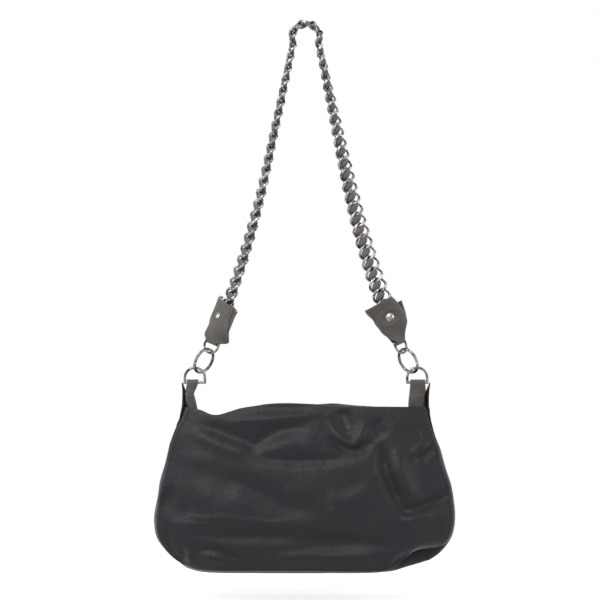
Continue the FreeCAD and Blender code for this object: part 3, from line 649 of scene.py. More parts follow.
BACK_FOLDS = [
    ([(-112, 158), (-84, 146), (-58, 139), (-30, 147), (0, 154)], 8, -3.6),
    ([(-70, 163), (-40, 160), (-5, 164)], 6, 2.0),
    ([(-118, 140), (-84, 131), (-50, 128)], 8, 2.0),
    ([(-60, 121), (-15, 116), (35, 121)], 6, -2.4),
    ([(58, 172), (63, 156), (70, 138)], 8, -3.4),
    ([(44, 150), (56, 137), (70, 130), (84, 139), (92, 152)], 5, 2.2),
    ([(-88, 118), (-94, 94), (-104, 72)], 8, -3.4),
    ([(-100, 120), (-108, 98), (-118, 80)], 8, 2.0),
    ([(-104, 72), (-122, 76), (-142, 86)], 6, -2.6),
    ([(92, 112), (96, 88), (108, 64)], 8, -3.2),
    ([(108, 64), (126, 68), (146, 80)], 6, -2.2),
    ([(-60, 92), (-20, 78), (30, 74)], 10, -2.6),
    ([(10, 62), (46, 74), (72, 88)], 9, 2.0),
    ([(-124, 52), (-60, 46), (10, 43), (90, 48)], 8, -2.6),
    ([(-96, 57), (-50, 55), (0, 58)], 3, 1.0),
    ([(-110, 24), (-60, 20), (20, 21), (100, 26)], 7, 2.2),
    ([(-60, 30), (0, 31), (50, 30)], 6, -1.3),
    ([(120, 30), (124, 20), (127, 12)], 4, -1.8),
]
# Scuffed lines: points along the scuff, half width and strength
FRONT_SCUFFS = [
    ([(37, 168), (42, 154), (45, 143)], 1.8, 0.8),
    ([(24, 156), (31, 145), (43, 136), (51, 135)], 1.2, 0.5),
    ([(-128, 60), (-112, 62.5), (-96, 60)], 1.3, 0.7),
    ([(-52, 60), (-34, 57.5), (-8, 60)], 1.2, 0.6),
    ([(-145, 58), (-120, 55), (-92, 57)], 1.2, 0.45),
    ([(18, 69), (32, 71)], 1.6, 0.6),
    ([(118, 150), (120, 138)], 1.2, 0.7),
    ([(124, 124), (134, 131)], 1.4, 0.45),
    ([(-24, 92), (-14, 88)], 1.4, 0.35),
    ([(66, 106), (80, 112)], 3.0, 0.3),
    ([(80, 8), (89, 16), (97, 22.5), (112, 27), (136, 30)], 1.6, 1.0),
]
BACK_SCUFFS = [
    ([(60, 166), (65, 150), (69, 140)], 1.6, 0.6),
    ([(-120, 58), (-100, 61), (-84, 59)], 1.3, 0.5),
    ([(20, 60), (38, 63)], 1.5, 0.45),
    ([(-118, 146), (-121, 134)], 1.2, 0.5),
    ([(-134, 128), (-124, 122)], 1.3, 0.4),
    ([(-92, 14), (-60, 10)], 2, 0.35),
]


# A fold or scuff: points along it, share of its length in which it fades in, height and width at a tip
FOLD_POINTS = 60
FOLD_TAPER = 0.34
FOLD_TIP = 0.06
FOLD_TIP_WIDTH = 0.65
# Ripples: number of waves, their shortest and longest in millimetres, and what their sum is divided by
RIPPLE_WAVES = 36
RIPPLE_SHORTEST = 22
RIPPLE_LONGEST = 95
RIPPLE_SUM = 4
# How the bag narrows from its belly to its rim
NARROWING = 1.5


def nearness(across, height, points, width):
    """How close points of the bag are to a line, 1 on it, narrowing and fading out towards its ends."""
    line = smooth_line(points, FOLD_POINTS)
    gap = (across[..., None] - line[:, 0]) ** 2 + (height[..., None] - line[:, 1]) ** 2
    along = gap.argmin(-1) / (len(line) - 1)
    taper = ease(np.minimum(along, 1 - along) / FOLD_TAPER + FOLD_TIP)
    narrowed = width * between(FOLD_TIP_WIDTH, 1, taper)
    return taper * np.exp(-gap.min(-1) / narrowed ** 2)


def ripples(across, height, seed):
    """Small even-handed unevenness of soft leather, from -1 to 1 or so."""
    draw = np.random.default_rng(seed)
    total = np.zeros_like(across)
    for _ in range(RIPPLE_WAVES):
        angle = draw.uniform(0, 2 * math.pi)
        length = draw.uniform(RIPPLE_SHORTEST, RIPPLE_LONGEST)
        phase = draw.uniform(0, 2 * math.pi)
        along = across * math.cos(angle) + height * math.sin(angle)
        total += length / RIPPLE_LONGEST * np.cos(2 * math.pi * along / length + phase)
    return total / RIPPLE_SUM


def half_depth(height, base):
    """Half depth in millimetres at heights above the floor, from the half depth at the base."""
    shape = bpy.context.scene.bag_shape
    belly, rim = shape.half_depth_belly / MM, shape.half_depth_rim / MM
    belly_height, rim_height = shape.belly_height / MM, shape.rim_height / MM
    rise = np.clip(1 - height / belly_height, 0, 1)
    below = between(base, belly, np.sqrt(1 - rise * rise))
    share = np.clip((height - belly_height) / (rim_height - belly_height), 0, 1)
    return np.where(height < belly_height, below, between(belly, rim, share ** NARROWING))


# Base of the bag, in millimetres: half depth, place of its corners, and the seams' share of the depth there
BASE_HALF_DEPTH = 23.0
BASE_CORNER = 118
BASE_SEAM_SHARE = 0.82
BASE_SEAM_TOP = 30
BASE_SEAM_FADE = 20


def seam_line(lines, share):
    """Points of one seam, with their distance from the bag's middle plane."""
    shape = bpy.context.scene.bag_shape
    flat = smooth_line(lines, share)
    place = np.clip(np.abs(flat[:, 0]) / BASE_CORNER, 0, 1)
    low = ease((BASE_SEAM_TOP - flat[:, 1]) / BASE_SEAM_FADE)
    wider = (BASE_SEAM_SHARE - shape.seam_share) * (1 - place ** 6) * low
    depth = (shape.seam_share + wider) * half_depth(flat[:, 1], BASE_HALF_DEPTH)
    return np.column_stack([flat, depth])


# Seams, in millimetres: raised welt beside one, groove on it, and reach within which the folds fade
WELT_HEIGHT = 0.7
WELT_PLACE = 3.2
WELT_WIDTH = 1.8
GROOVE_WIDTH = 1.4
PANEL_CALM = 10
GUSSET_CALM = 8
# Where the front seam rises off the base the panel turns in more slowly
SEAM_LIFT_START = 3
SEAM_LIFT_RANGE = 16
BASE_TURN = 0.04
LIFTED_TURN = 0.14
# Curves across a panel: rim from corner to corner, and belly from seam to seam
RIM_CURVE = 2.4
BELLY_CURVE = 5
# Share of the folds that is left at the rim, and share of the height in which they fade
RIM_FOLDS = 0.35
RIM_CALM = 0.05
# Points in the grids of the panels and gussets
PANEL_COLUMNS = 190
PANEL_ROWS = 112
GUSSET_COLUMNS = 30
across_shares = edge_spacing(PANEL_COLUMNS)
upward_shares = edge_spacing(PANEL_ROWS)


def panel_grid(seam, rim, folds, seed):
    """Outside of one panel as across, depth and height in millimetres, depth away from the middle plane."""
    shape = bpy.context.scene.bag_shape
    over = across_shares[None, :, None]
    up = upward_shares[:, None, None]
    left = seam_line(seam["left"], 1 - upward_shares)
    right = seam_line(seam["right"], upward_shares)
    base = seam_line(seam["base"], across_shares)
    from_middle = np.abs(2 * across_shares - 1)
    rim_depth = between(left[-1, 2], shape.half_depth_rim / MM, 1 - from_middle ** RIM_CURVE)
    top = np.column_stack([smooth_line(rim, across_shares), rim_depth])
    corners = ((1 - over) * (1 - up) * base[0] + over * (1 - up) * base[-1]
               + (1 - over) * up * top[0] + over * up * top[-1])
    grid = ((1 - up) * base[None] + up * top[None]
            + (1 - over) * left[:, None] + over * right[:, None] - corners)
    across, height, edge_depth = grid[..., 0], grid[..., 1], grid[..., 2]
    middle = edge_depth[:, PANEL_COLUMNS // 2][:, None]
    full = half_depth(height, base[PANEL_COLUMNS // 2, 2])
    wrap = np.sqrt(1 - from_middle ** BELLY_CURVE)[None, :]
    lifted = np.clip((base[:, 1] - SEAM_LIFT_START) / SEAM_LIFT_RANGE, 0, 1)
    turn_in = ease(upward_shares[:, None] / (BASE_TURN + LIFTED_TURN * lifted)[None, :])
    depth = edge_depth + (full - middle) * wrap * turn_in
    bulge = np.zeros_like(depth)
    for points, width, rise in folds:
        bulge += rise * shape.fold_depth * nearness(across, height, points, width)
    bulge += ripples(across, height, seed) * shape.ripple / MM
    edge_gap = np.minimum.reduce([
        np.hypot(across - left[:, :1], height - left[:, 1:2]),
        np.hypot(across - right[:, :1], height - right[:, 1:2]),
        np.hypot(across - base[None, :, 0], height - base[None, :, 1])])
    rim_calm = between(RIM_FOLDS, 1, ease((1 - upward_shares) / RIM_CALM))
    calm = ease(edge_gap / PANEL_CALM) * rim_calm[:, None]
    welt = WELT_HEIGHT * ridge(edge_gap, WELT_PLACE, WELT_WIDTH)
    depth = depth + bulge * calm + welt - shape.seam_groove / MM * ridge(edge_gap, 0, GROOVE_WIDTH)
    return across, depth, height, edge_gap, (left, base, right)


def bag_points(across, depth, height):
    """Points in metres from a place across the bag, a place along Y and a height above its floor."""
    return np.stack([across * MM, depth * MM, height * MM + BAG_FLOOR], -1)


def rolled_edge(grid, roll, steps=7):
    """Grid with its last row turned over inwards, in a half circle as thick as the roll."""
    normals = surface_normals(grid)[-1]
    upward = grid[-1] - grid[-2]
    upward -= normals * np.sum(upward * normals, -1, keepdims=True)
    upward /= np.linalg.norm(upward, axis=-1, keepdims=True)
    rows = [grid]
    for angle in np.linspace(0, math.pi, steps)[1:]:
        turned_in = normals * (1 - math.cos(angle)) - upward * math.sin(angle)
        rows.append((grid[-1] - turned_in * (roll / 2))[None])
    return np.concatenate(rows)


# Outsides of the shell's pieces, which the facings, lining, pocket and board follow
shell_grids = {}
# Wear: strength, place and width of the worn strip beside a seam, and strength and reach of that at the rim
PANEL_WEAR = (0.45, 2.6, 1.6)
GUSSET_WEAR = (0.4, 2.2, 1.4)
SEAM_PATCHES = 0.4
RIM_WEAR = 0.35
RIM_WEAR_REACH = 2.0
RIM_PATCHES = 0.5
PANEL_HEIGHT = 170
# Shares of a panel's height: evened inside, its fade, full thickness, and start and length of the rim's roll
EVEN_BELOW = 0.1
EVEN_FADE = 0.05
FULL_ABOVE = 0.12
ROLL_START = 0.94
ROLL_LENGTH = 0.06
SEAM_THINNING = 0.3


def seam_wear(edge_gap, strip, patches):
    """Patchy wear beside a seam, from 0 to 1."""
    strength, place, width = strip
    return strength * ridge(edge_gap, place, width) * ease(patches)


def panel_wear(across, height, edge_gap, scuffs, seed):
    """Wear of a panel beside its seams, along its rim and on its scuffs, from 0 to 1."""
    rim_gap = (1 - upward_shares)[:, None] * PANEL_HEIGHT
    wear = seam_wear(edge_gap, PANEL_WEAR, ripples(across, height, seed + 7) + SEAM_PATCHES)
    rim_patches = ease(ripples(across, height, seed + 9) + RIM_PATCHES)
    wear += RIM_WEAR * np.exp(-rim_gap / RIM_WEAR_REACH) * rim_patches
    for points, width, strength in scuffs:
        wear = np.maximum(wear, strength * nearness(across, height, points, width))
    return wear


def make_panel(node, seam, rim, folds, scuffs, side, seed):
    """One large panel of the bag, its upper edge rolled over."""
    shape = bpy.context.scene.bag_shape
    across, depth, height, edge_gap, lines = panel_grid(seam, rim, folds, seed)
    outside = bag_points(across, side * depth, height)
    wear = panel_wear(across, height, edge_gap, scuffs, seed)
    if side > 0:
        outside, wear = outside[:, ::-1], wear[:, ::-1]
    shell_grids[node] = outside
    rolled = rolled_edge(outside, shape.rim_roll)
    added = len(rolled) - len(outside)

    def with_rim(rows):
        """Repeat the last row for each row of the rolled edge."""
        return np.concatenate([rows, np.repeat(rows[-1:], added, 0)])

    sharp = ease((upward_shares - EVEN_BELOW) / EVEN_FADE)[:, None, None]
    normals = surface_normals(outside)
    normals = with_rim(evened(normals) * (1 - sharp) + normals * sharp)
    rise = with_rim(upward_shares)[:, None]
    thinned = between(SEAM_THINNING, 1, ease(rise / FULL_ABOVE))
    rolling = ease((rise - ROLL_START) / ROLL_LENGTH)
    thickness = shape.leather * thinned + (shape.rim_roll - shape.leather) * rolling
    worn = with_rim(wear)
    piece = Piece()
    piece.add_plies(rolled, with_rim(outside) - normals * thickness[..., None], worn, worn * 0)
    piece.make(node + "_leather", finish_of("leather_black"), "bag", "leather_black", node)
    return lines


# Tops of the side gussets, which turn over beside the loops: lower and upper end, fades and thickness added
EAR_LOW = 160
EAR_HIGH = 196
EAR_LOW_FADE = 10
EAR_HIGH_FADE = 14
EAR_PLY = 2.6 * MM
# Gussets: curve from seam to seam, ripples and the height in which they fade towards the floor
GUSSET_CURVE = 2.4
GUSSET_RIPPLE = 0.7
GUSSET_FLOOR = 6
BAG_MIDDLE = np.array([0, 0, 80.0])


def make_gusset(node, front, back, outline, seed):
    """One strip between the front and back seams, bulging out to the bag's outline."""
    shape = bpy.context.scene.bag_shape
    from_middle = edge_spacing(GUSSET_COLUMNS, 0.4) * 2 - 1
    share = (from_middle[None, :, None] + 1) / 2
    seam = front[:, None, :2] * (1 - share) + back[:, None, :2] * share
    arch = (1 - np.abs(from_middle) ** GUSSET_CURVE)[None, :, None]
    flat = between(seam, outline[:, None], arch)
    depth = -front[:, None, 2] * (1 - share[..., 0]) + back[:, None, 2] * share[..., 0]
    grid = np.stack([flat[..., 0], depth, flat[..., 1]], -1)
    normals = surface_normals(grid)
    if np.sum(normals * (grid - BAG_MIDDLE)) < 0:
        grid = grid[:, ::-1]
        normals = surface_normals(grid)
    edge_gap = np.minimum(np.linalg.norm(grid - grid[:, :1], axis=-1),
                          np.linalg.norm(grid - grid[:, -1:], axis=-1))
    bulge = ripples(grid[..., 1] * 2 + grid[..., 0], grid[..., 2], seed) * GUSSET_RIPPLE
    bulge = bulge * ease(edge_gap / GUSSET_CALM) - shape.seam_groove / MM * ridge(edge_gap, 0, GROOVE_WIDTH)
    above_floor = ease(grid[..., 2] / GUSSET_FLOOR)
    grid = grid + normals * np.where(bulge > 0, bulge * above_floor, bulge)[..., None]
    across, depth, height = np.moveaxis(grid, -1, 0)
    outside = bag_points(across, depth, height)
    shell_grids[node] = outside
    wear = seam_wear(edge_gap, GUSSET_WEAR, ripples(across, height, seed + 3) + SEAM_PATCHES)
    turned_over = ease((height - EAR_LOW) / EAR_LOW_FADE) * ease((EAR_HIGH - height) / EAR_HIGH_FADE)
    piece = Piece()
    piece.add_sheet(outside, shape.leather + EAR_PLY * turned_over, wear, evened(surface_normals(outside)))
    # The base and sides take the darker leather colour, which is painted shade
    return piece.make(node + "_leather", finish_of("leather_gusset"), "bag", "leather_black", node)


class BAG_OT_shell(bpy.types.Operator):
    """Make the bag's sagging leather panels and gussets"""
    bl_idname = "chain_bag.shell"
    bl_label = "Bag shell"

    def execute(self, context):
        front = make_panel("front_panel", FRONT_SEAM, FRONT_RIM, FRONT_FOLDS, FRONT_SCUFFS, -1, 3)
        back = make_panel("back_panel", BACK_SEAM, BACK_RIM, BACK_FOLDS, BACK_SCUFFS, 1, 11)
        shares = {"left": 1 - upward_shares, "base": across_shares, "right": upward_shares}
        nodes = {"left": "side_gusset_left", "base": "base_gusset", "right": "side_gusset_right"}
        for index, (stretch, share) in enumerate(shares.items()):
            outline = smooth_line(OUTLINE[stretch], share)
            make_gusset(nodes[stretch], front[index], back[index], outline, 21 + index)
        return {"FINISHED"}


# Zip: half length of the open stretch, and softening of its metal
ZIP_HALF_LENGTH = 93 * MM
ZIP_BEVEL = 0.18 * MM
# Facings: edges in and past the open stretch, share of the rim's roll and drop where they start, sag and ply
FACING_EDGE = 3.6 * MM
FACING_EDGE_PAST = 2.4 * MM
FACING_TUCK = 0.9
FACING_DROP = 1.2 * MM
FACING_SAG = 0.5 * MM
FACING_WAVE = 23 * MM
FACING_PLY = 1.1 * MM
# Seams of the facings: place, half length and points
FACING_SEAM = 5.4 * MM
FACING_SEAM_HALF_LENGTH = 92 * MM
FACING_SEAM_POINTS = 90
# Tapes: ply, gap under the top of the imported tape, and height and width of the cord as a share
TAPE_PLY = 0.5 * MM
TAPE_DROP = 0.3 * MM
TAPE_CORD = 0.25 * MM
TAPE_CORD_WIDTH = 0.14


class BAG_OT_mouth(bpy.types.Operator):
    """Make the leather facings and cloth tapes of the zip, and finish its metal"""
    bl_idname = "chain_bag.mouth"
    bl_label = "Zip mouth"

    def execute(self, context):
        for side, name in ((-1, "front"), (1, "back")):
            self.facing(side, name)
            self.tape(side, name)
        for node in ("zip_teeth_front", "zip_teeth_back", "zip_stops", "zip_slider", "zip_puller"):
            finish_node(node, "zip_metal", ZIP_BEVEL)
        return {"FINISHED"}

    def facing(self, side, name):
        """Strip that turns down from the rim and runs in to the zip."""
        node = "zip_facing_" + name
        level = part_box("zip_facing_" + name)[1].z
        rim = shell_grids[name + "_panel"][-1]
        rim = rim[np.argsort(rim[:, 0])][3:-3]
        x = rim[:, 0]
        inner = side * np.where(np.abs(x) < ZIP_HALF_LENGTH, FACING_EDGE, FACING_EDGE_PAST)
        outer = rim[:, 1] - side * bpy.context.scene.bag_shape.rim_roll * FACING_TUCK
        top = rim[:, 2] - FACING_DROP
        rows = []
        for share in np.linspace(0, 1, 16):
            drop = ease(share / 0.55)
            reach = ease((share - 0.3) / 0.7)
            sag = FACING_SAG * np.sin(x / FACING_WAVE) * math.sin(math.pi * share)
            height = between(top, level, drop) + sag * (1 - drop)
            rows.append(np.stack([x, between(outer, inner, reach), height], -1))
        piece = Piece()
        piece.add_sheet(facing_up(np.array(rows)), FACING_PLY)
        piece.make(node + "_leather", finish_of("leather_black"), "bag", "leather_black", node)
        line = np.full((FACING_SEAM_POINTS, 3), (0, side * FACING_SEAM, level + 0.1 * MM))
        line[:, 0] = np.linspace(-FACING_SEAM_HALF_LENGTH, FACING_SEAM_HALF_LENGTH, FACING_SEAM_POINTS)
        make_stitches("zip_stitching_" + name, [(line, np.full_like(line, (0, 0, 1)))])

    def tape(self, side, name):
        """Woven tape under a facing, with a corded edge along the teeth."""
        node = "zip_tape_" + name
        low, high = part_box("zip_tape_" + name)
        x = np.linspace(low.x, high.x, 140)
        near, far = (high.y, low.y) if side < 0 else (low.y, high.y)
        rows = []
        for share in np.linspace(0, 1, 10):
            place = np.full_like(x, between(near, far, share))
            height = np.full_like(x, high.z - TAPE_DROP + TAPE_CORD * ridge(share, 0, TAPE_CORD_WIDTH))
            rows.append(np.stack([x, place, height], -1))
        piece = Piece()
        piece.add_sheet(facing_up(np.array(rows)), TAPE_PLY)
        piece.make(node + "_cloth", finish_of("zip_tape"), "bag", "zip_tape", node)


# Lining: gaps to the leather, ply, share of the height where it turns in to the base, and its base
LINING_GAP = 2.9 * MM
LINING_END_GAP = 1.3 * LINING_GAP
LINING_PLY = 0.6 * MM
LINING_TURN = 0.2
LINING_BASE_SCALE = (0.96, 0.68, 1)
LINING_BASE_RISE = 4.4 * MM
LINING_END_SCALE = (1, 0.8, 1)
LINING_END_DROP = 14 * MM
# Base board: radius of its corners, blur of the base under it and softening
BOARD_CORNER = 12 * MM
BOARD_BLUR = 3 * MM
BOARD_BEVEL = 0.3 * MM
# Slip pocket: gap to the back panel, blur, slack and its wave, ply, hem and the height where the hem starts
POCKET_GAP = 5.6 * MM
POCKET_BLUR = 4 * MM
POCKET_SLACK = 1.5 * MM
POCKET_WAVE = 38 * MM
POCKET_PLY = 0.8 * MM
POCKET_HEM = 1.4 * MM
POCKET_HEM_START = 0.86
POCKET_ROWS = 42


class BAG_OT_inside(bpy.types.Operator):
    """Make the cloth lining, its pocket and the base board"""
    bl_idname = "chain_bag.inside"
    bl_label = "Lining and base board"

    def execute(self, context):
        lining = Piece()
        lining_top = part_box("lining")[1].z
        inner = shell_grids["base_gusset"] * LINING_BASE_SCALE + np.array([0, 0, LINING_BASE_RISE])
        base_edges = {"front": inner[:, 0], "back": inner[:, -1]}
        if inner[0, 0, 1] > 0:
            base_edges = {"front": inner[:, -1], "back": inner[:, 0]}
        lining.add_sheet(inner[::2, ::2], LINING_PLY)
        for name, edge in base_edges.items():
            grid = shell_grids[name + "_panel"]
            inner = grid - surface_normals(grid) * LINING_GAP
            if edge[0, 0] > edge[-1, 0]:
                edge = edge[::-1]
            if grid[0, 0, 0] > grid[0, -1, 0]:
                edge = edge[::-1]
            low = int(np.sum(upward_shares < LINING_TURN))
            rise = (upward_shares[:low] / upward_shares[low])[:, None, None]
            inner[:low] = between(edge, inner[low], rise)
            inner = inner[grid[..., 2].min(1) < lining_top + 6 * MM][::2, ::2]
            inner[..., 2] = np.minimum(inner[..., 2], lining_top)
            lining.add_sheet(inner, LINING_PLY)
        for name, side in SIDES.items():
            grid = shell_grids["side_gusset_" + name]
            inner = grid * LINING_END_SCALE - np.array([side * LINING_END_GAP, 0, 0])
            inner = inner[grid[..., 2].max(1) < lining_top - LINING_END_DROP][::2, ::2]
            lining.add_sheet(inner, LINING_PLY)
        lining.make("lining_cloth", finish_of("lining_cloth"), "bag", "lining_cloth", "lining")
        self.pocket()
        self.board()
        return {"FINISHED"}

    def board(self):
        """Stiff board with rounded corners that lies on the base and bends up with its end."""
        low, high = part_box("base_board")
        thickness = high.z - low.z
        base = shell_grids["base_gusset"][::2, ::2].reshape(-1, 3)
        x = edge_spacing(90) * (high.x - low.x) + low.x
        past = np.clip(BOARD_CORNER - np.minimum(x - low.x, high.x - x), 0, BOARD_CORNER)
        reach = high.y - BOARD_CORNER + np.sqrt(BOARD_CORNER ** 2 - past ** 2)
        y = np.linspace(-1, 1, 26)[:, None] * reach
        x = np.broadcast_to(x, y.shape)
        level = laid_on((x, y), (base[:, 0], base[:, 1]), base[:, 2], BOARD_BLUR)
        level = level + bpy.context.scene.bag_shape.leather + thickness
        piece = Piece()
        piece.add_sheet(facing_up(np.stack([x, y, np.maximum(level, high.z)], -1)), thickness)
        made = piece.make("base_board_sheet", finish_of("base_board"), "bag", "base_board", "base_board")
        soften(made, BOARD_BEVEL)

    def pocket(self):
        """Slip pocket's panel on the back of the lining, with a hemmed top."""
        low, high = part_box("inner_pocket")
        back = shell_grids["back_panel"][::3, ::3].reshape(-1, 3)
        x, z = np.meshgrid(np.linspace(low.x, high.x, 66), np.linspace(low.z, high.z, POCKET_ROWS))
        y = laid_on((x, z), (back[:, 0], back[:, 2]), back[:, 1], POCKET_BLUR) - POCKET_GAP
        rise = np.linspace(0, 1, POCKET_ROWS)[:, None]
        y -= POCKET_SLACK * ease((rise - 0.7) / 0.3) * np.cos(x / POCKET_WAVE) ** 2
        piece = Piece()
        piece.add_sheet(np.stack([x, y, z], -1), np.where(rise > POCKET_HEM_START, POCKET_HEM, POCKET_PLY))
        piece.make("inner_pocket_cloth", finish_of("lining_cloth"), "bag", "lining_cloth", "inner_pocket")


# Chain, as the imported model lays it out
LINK_PITCH = 12 * MM
HELD_LEANS = (43.0, -4.0)
HELD_LINKS = len(HELD_LEANS)
UPPER_LINKS = 12
LOWER_LINKS = 13
LOWER_FLARE = 8.0
END_LEAN = 22.0
HOOK_FACE_TURN = 90.0
END_FACE_TURN = {"left": 60.0, "right": 5.0}
# Lace: unevenness of its place and width, skew, points and seeds
LACE_UNEVEN = 0.3 * MM
LACE_UNEVEN_WIDTH = 0.05
LACE_SKEW = 0.18
LACE_STEPS = 12
LACE_AROUND = 20
LACE_SEEDS = {"top": 31, "upper": 33, "lower": 37, "hook_bend": 41, "middle_bend": 45}


def leaning(lean, side):
    """Directions along and square to a strap piece that leans outwards as it goes down."""
    angle = math.radians(lean)
    down = np.array([side * math.sin(angle), 0, -math.cos(angle)])
    outward = np.array([side * math.cos(angle), 0, math.sin(angle)])
    return down, outward


def turned(lean, side, turn):
    """Width and face directions of a leaning piece turned about its own length."""
    outward = leaning(lean, side)[1]
    angle = math.radians(turn)
    y_axis = np.array([0, 1.0, 0])
    return (outward * math.cos(angle) + y_axis * math.sin(angle),
            outward * math.sin(angle) - y_axis * math.cos(angle))


def chain_links(name):
    """Start corner, lean and number of each link of one leg, from the hook down."""
    side = SIDES[name]
    upper = JOINTS[name + "_upper_swing"]
    lower = JOINTS[name + "_lower_swing"]
    lean = math.degrees(math.atan2(abs(lower[0] - upper[0]), upper[2] - lower[2]))
    flared = [lean + LOWER_FLARE * count / (LOWER_LINKS - 1) for count in range(1, LOWER_LINKS)]
    leans = [*HELD_LEANS] + [lean] * UPPER_LINKS + flared + [END_LEAN]
    corner = upper - sum(leaning(held, side)[0] for held in HELD_LEANS) * LINK_PITCH
    links = []
    for index, link_lean in enumerate(leans):
        links.append((corner, link_lean, index))
        corner = corner + leaning(link_lean, side)[0] * LINK_PITCH
    return links


def link_turn(name, place):
    """Turn of the chain's face at a place counted in links from the hook."""
    last = HELD_LINKS + UPPER_LINKS + LOWER_LINKS - 1
    share = min(max(place / last, 0), 1)
    return between(HOOK_FACE_TURN, END_FACE_TURN[name], share)


def lace_stations(name, first, last):
    """Points, width and face directions and phase along some of the links of one leg."""
    stations = []
    for corner, lean, index in chain_links(name)[first:last]:
        down = leaning(lean, SIDES[name])[0]
        for share in np.linspace(0, 1, LACE_STEPS, endpoint=index == last - 1):
            width, face = turned(lean, SIDES[name], link_turn(name, index + share - 0.5))
            stations.append((corner + down * LINK_PITCH * share, width, face, 2 * math.pi * (share - 0.5)))
    return stations


def top_stations():
    """Stations of the lace over the hook, from the left leg to the right one."""
    left = [(point, width, face, -phase)
            for point, width, face, phase in reversed(lace_stations("left", 0, HELD_LINKS - 1))]
    right = lace_stations("right", 0, HELD_LINKS - 1)
    start, end = left[-1][0], right[0][0]
    across, up = np.array([0, 1.0, 0]), np.array([0, 0, 1.0])
    middle = [(between(start, end, share), across, up, 2 * math.pi * (share - 0.5))
              for share in np.linspace(0, 1, LACE_STEPS)[1:-1]]
    return left + middle + right


def make_lace(name, stations, seed, body, *nodes):
    """Lace that swells into a plump petal in each link and is squeezed at each crossing."""
    strap = bpy.context.scene.strap_shape
    draw = np.random.default_rng(seed)
    uneven = np.convolve(draw.normal(0, 1, len(stations)), np.ones(7) / 7, "same")
    points, width, face, phase = (np.array(column) for column in zip(*stations))
    petal = ((1 + np.cos(phase)) / 2) ** 0.5
    off = between(strap.lace_dip, strap.lace_rise, petal)
    aside = strap.lace_offset - strap.lace_slant * np.sin(phase) + uneven * LACE_UNEVEN
    middle = points + face * off[:, None] + width * aside[:, None]
    along = np.gradient(middle, axis=0)
    along /= np.linalg.norm(along, axis=1, keepdims=True)
    thick = np.cross(along, width)
    thick *= np.sign(np.sum(thick * face, 1, keepdims=True)) / np.linalg.norm(thick, axis=1, keepdims=True)
    side = np.cross(thick, along)
    side *= np.sign(np.sum(side * width, 1, keepdims=True))
    half_width = between(strap.lace_neck, strap.lace_width, petal) / 2 * (1 + LACE_UNEVEN_WIDTH * uneven)
    half_thick = between(strap.lace_thickness, strap.lace_petal, petal) / 2
    turns = np.linspace(0, 2 * math.pi, LACE_AROUND, endpoint=False)
    sideways = half_width[:, None] * (np.cos(turns) + LACE_SKEW * np.sin(turns))
    outward = half_thick[:, None] * np.sin(turns)
    ring = middle[:, None] + side[:, None] * sideways[..., None] + thick[:, None] * outward[..., None]
    quads = tube_faces(len(ring), LACE_AROUND)
    if np.sum(np.cross(ring[0, 1] - ring[0, 0], ring[1, 0] - ring[0, 0]) * (ring[0, 0] - middle[0])) < 0:
        quads = quads[:, ::-1]
    wear = np.clip(np.abs(np.cos(turns)) * 2.2 - 1.5, 0, 0.6)[None, :] * petal[:, None]
    piece = Piece()
    piece.add(ring, quads, wear)
    cap = np.arange(LACE_AROUND)[None]
    piece.faces += [cap[:, ::-1], cap + (len(ring) - 1) * LACE_AROUND]
    return piece.make(name + "_leather", finish_of("lace_grey"), body, "leather_grey", *nodes)


class BAG_OT_laces(bpy.types.Operator):
    """Thread the leather lace through the chain"""
    bl_idname = "chain_bag.laces"
    bl_label = "Laces"

    def execute(self, context):
        make_lace("lace_top", top_stations(), LACE_SEEDS["top"], "hook_chain", "lace_top")
        upper_end = HELD_LINKS + UPPER_LINKS
        lower_end = upper_end + LOWER_LINKS - 1
        for index, name in enumerate(SIDES):
            upper, lower = name + "_upper_chain", name + "_lower_chain"
            bends = {"hook_bend": (HELD_LINKS, "hook_chain", upper, "_upper_swing"),
                     "middle_bend": (upper_end, upper, lower, "_lower_swing")}
            stretches = {"upper": (HELD_LINKS + 1, upper_end - 1, upper),
                         "lower": (upper_end + 1, lower_end, lower)}
            for (key, bend), (level, (first, last, body)) in zip(bends.items(), stretches.items()):
                self.bend(f"lace_{key}_{name}", name, LACE_SEEDS[key] + index, *bend)
                node = f"lace_{level}_{name}"
                make_lace(node, lace_stations(name, first, last), LACE_SEEDS[level] + index, body, node)
        return {"FINISHED"}

    def bend(self, piece_name, name, seed, link, above, below, joint):
        """The lace in the links on both sides of a joint of the chain, fixed where it lies at rest."""
        piece = make_lace(piece_name, lace_stations(name, link - 1, link + 1), seed, None)
        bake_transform(piece)


class BAG_OT_metal(bpy.types.Operator):
    """Finish the chain, rings, clips and rivets"""
    bl_idname = "chain_bag.metal"
    bl_label = "Metal fittings"

    def execute(self, context):
        for node, slot in SLOT_OF.items():
            if slot == "dark_nickel":
                finish_node(node, "dark_nickel" if node.startswith(("chain", "rivet")) else "ring_nickel")
            elif slot == "spring_steel":
                finish_node(node, "spring_steel")
        return {"FINISHED"}


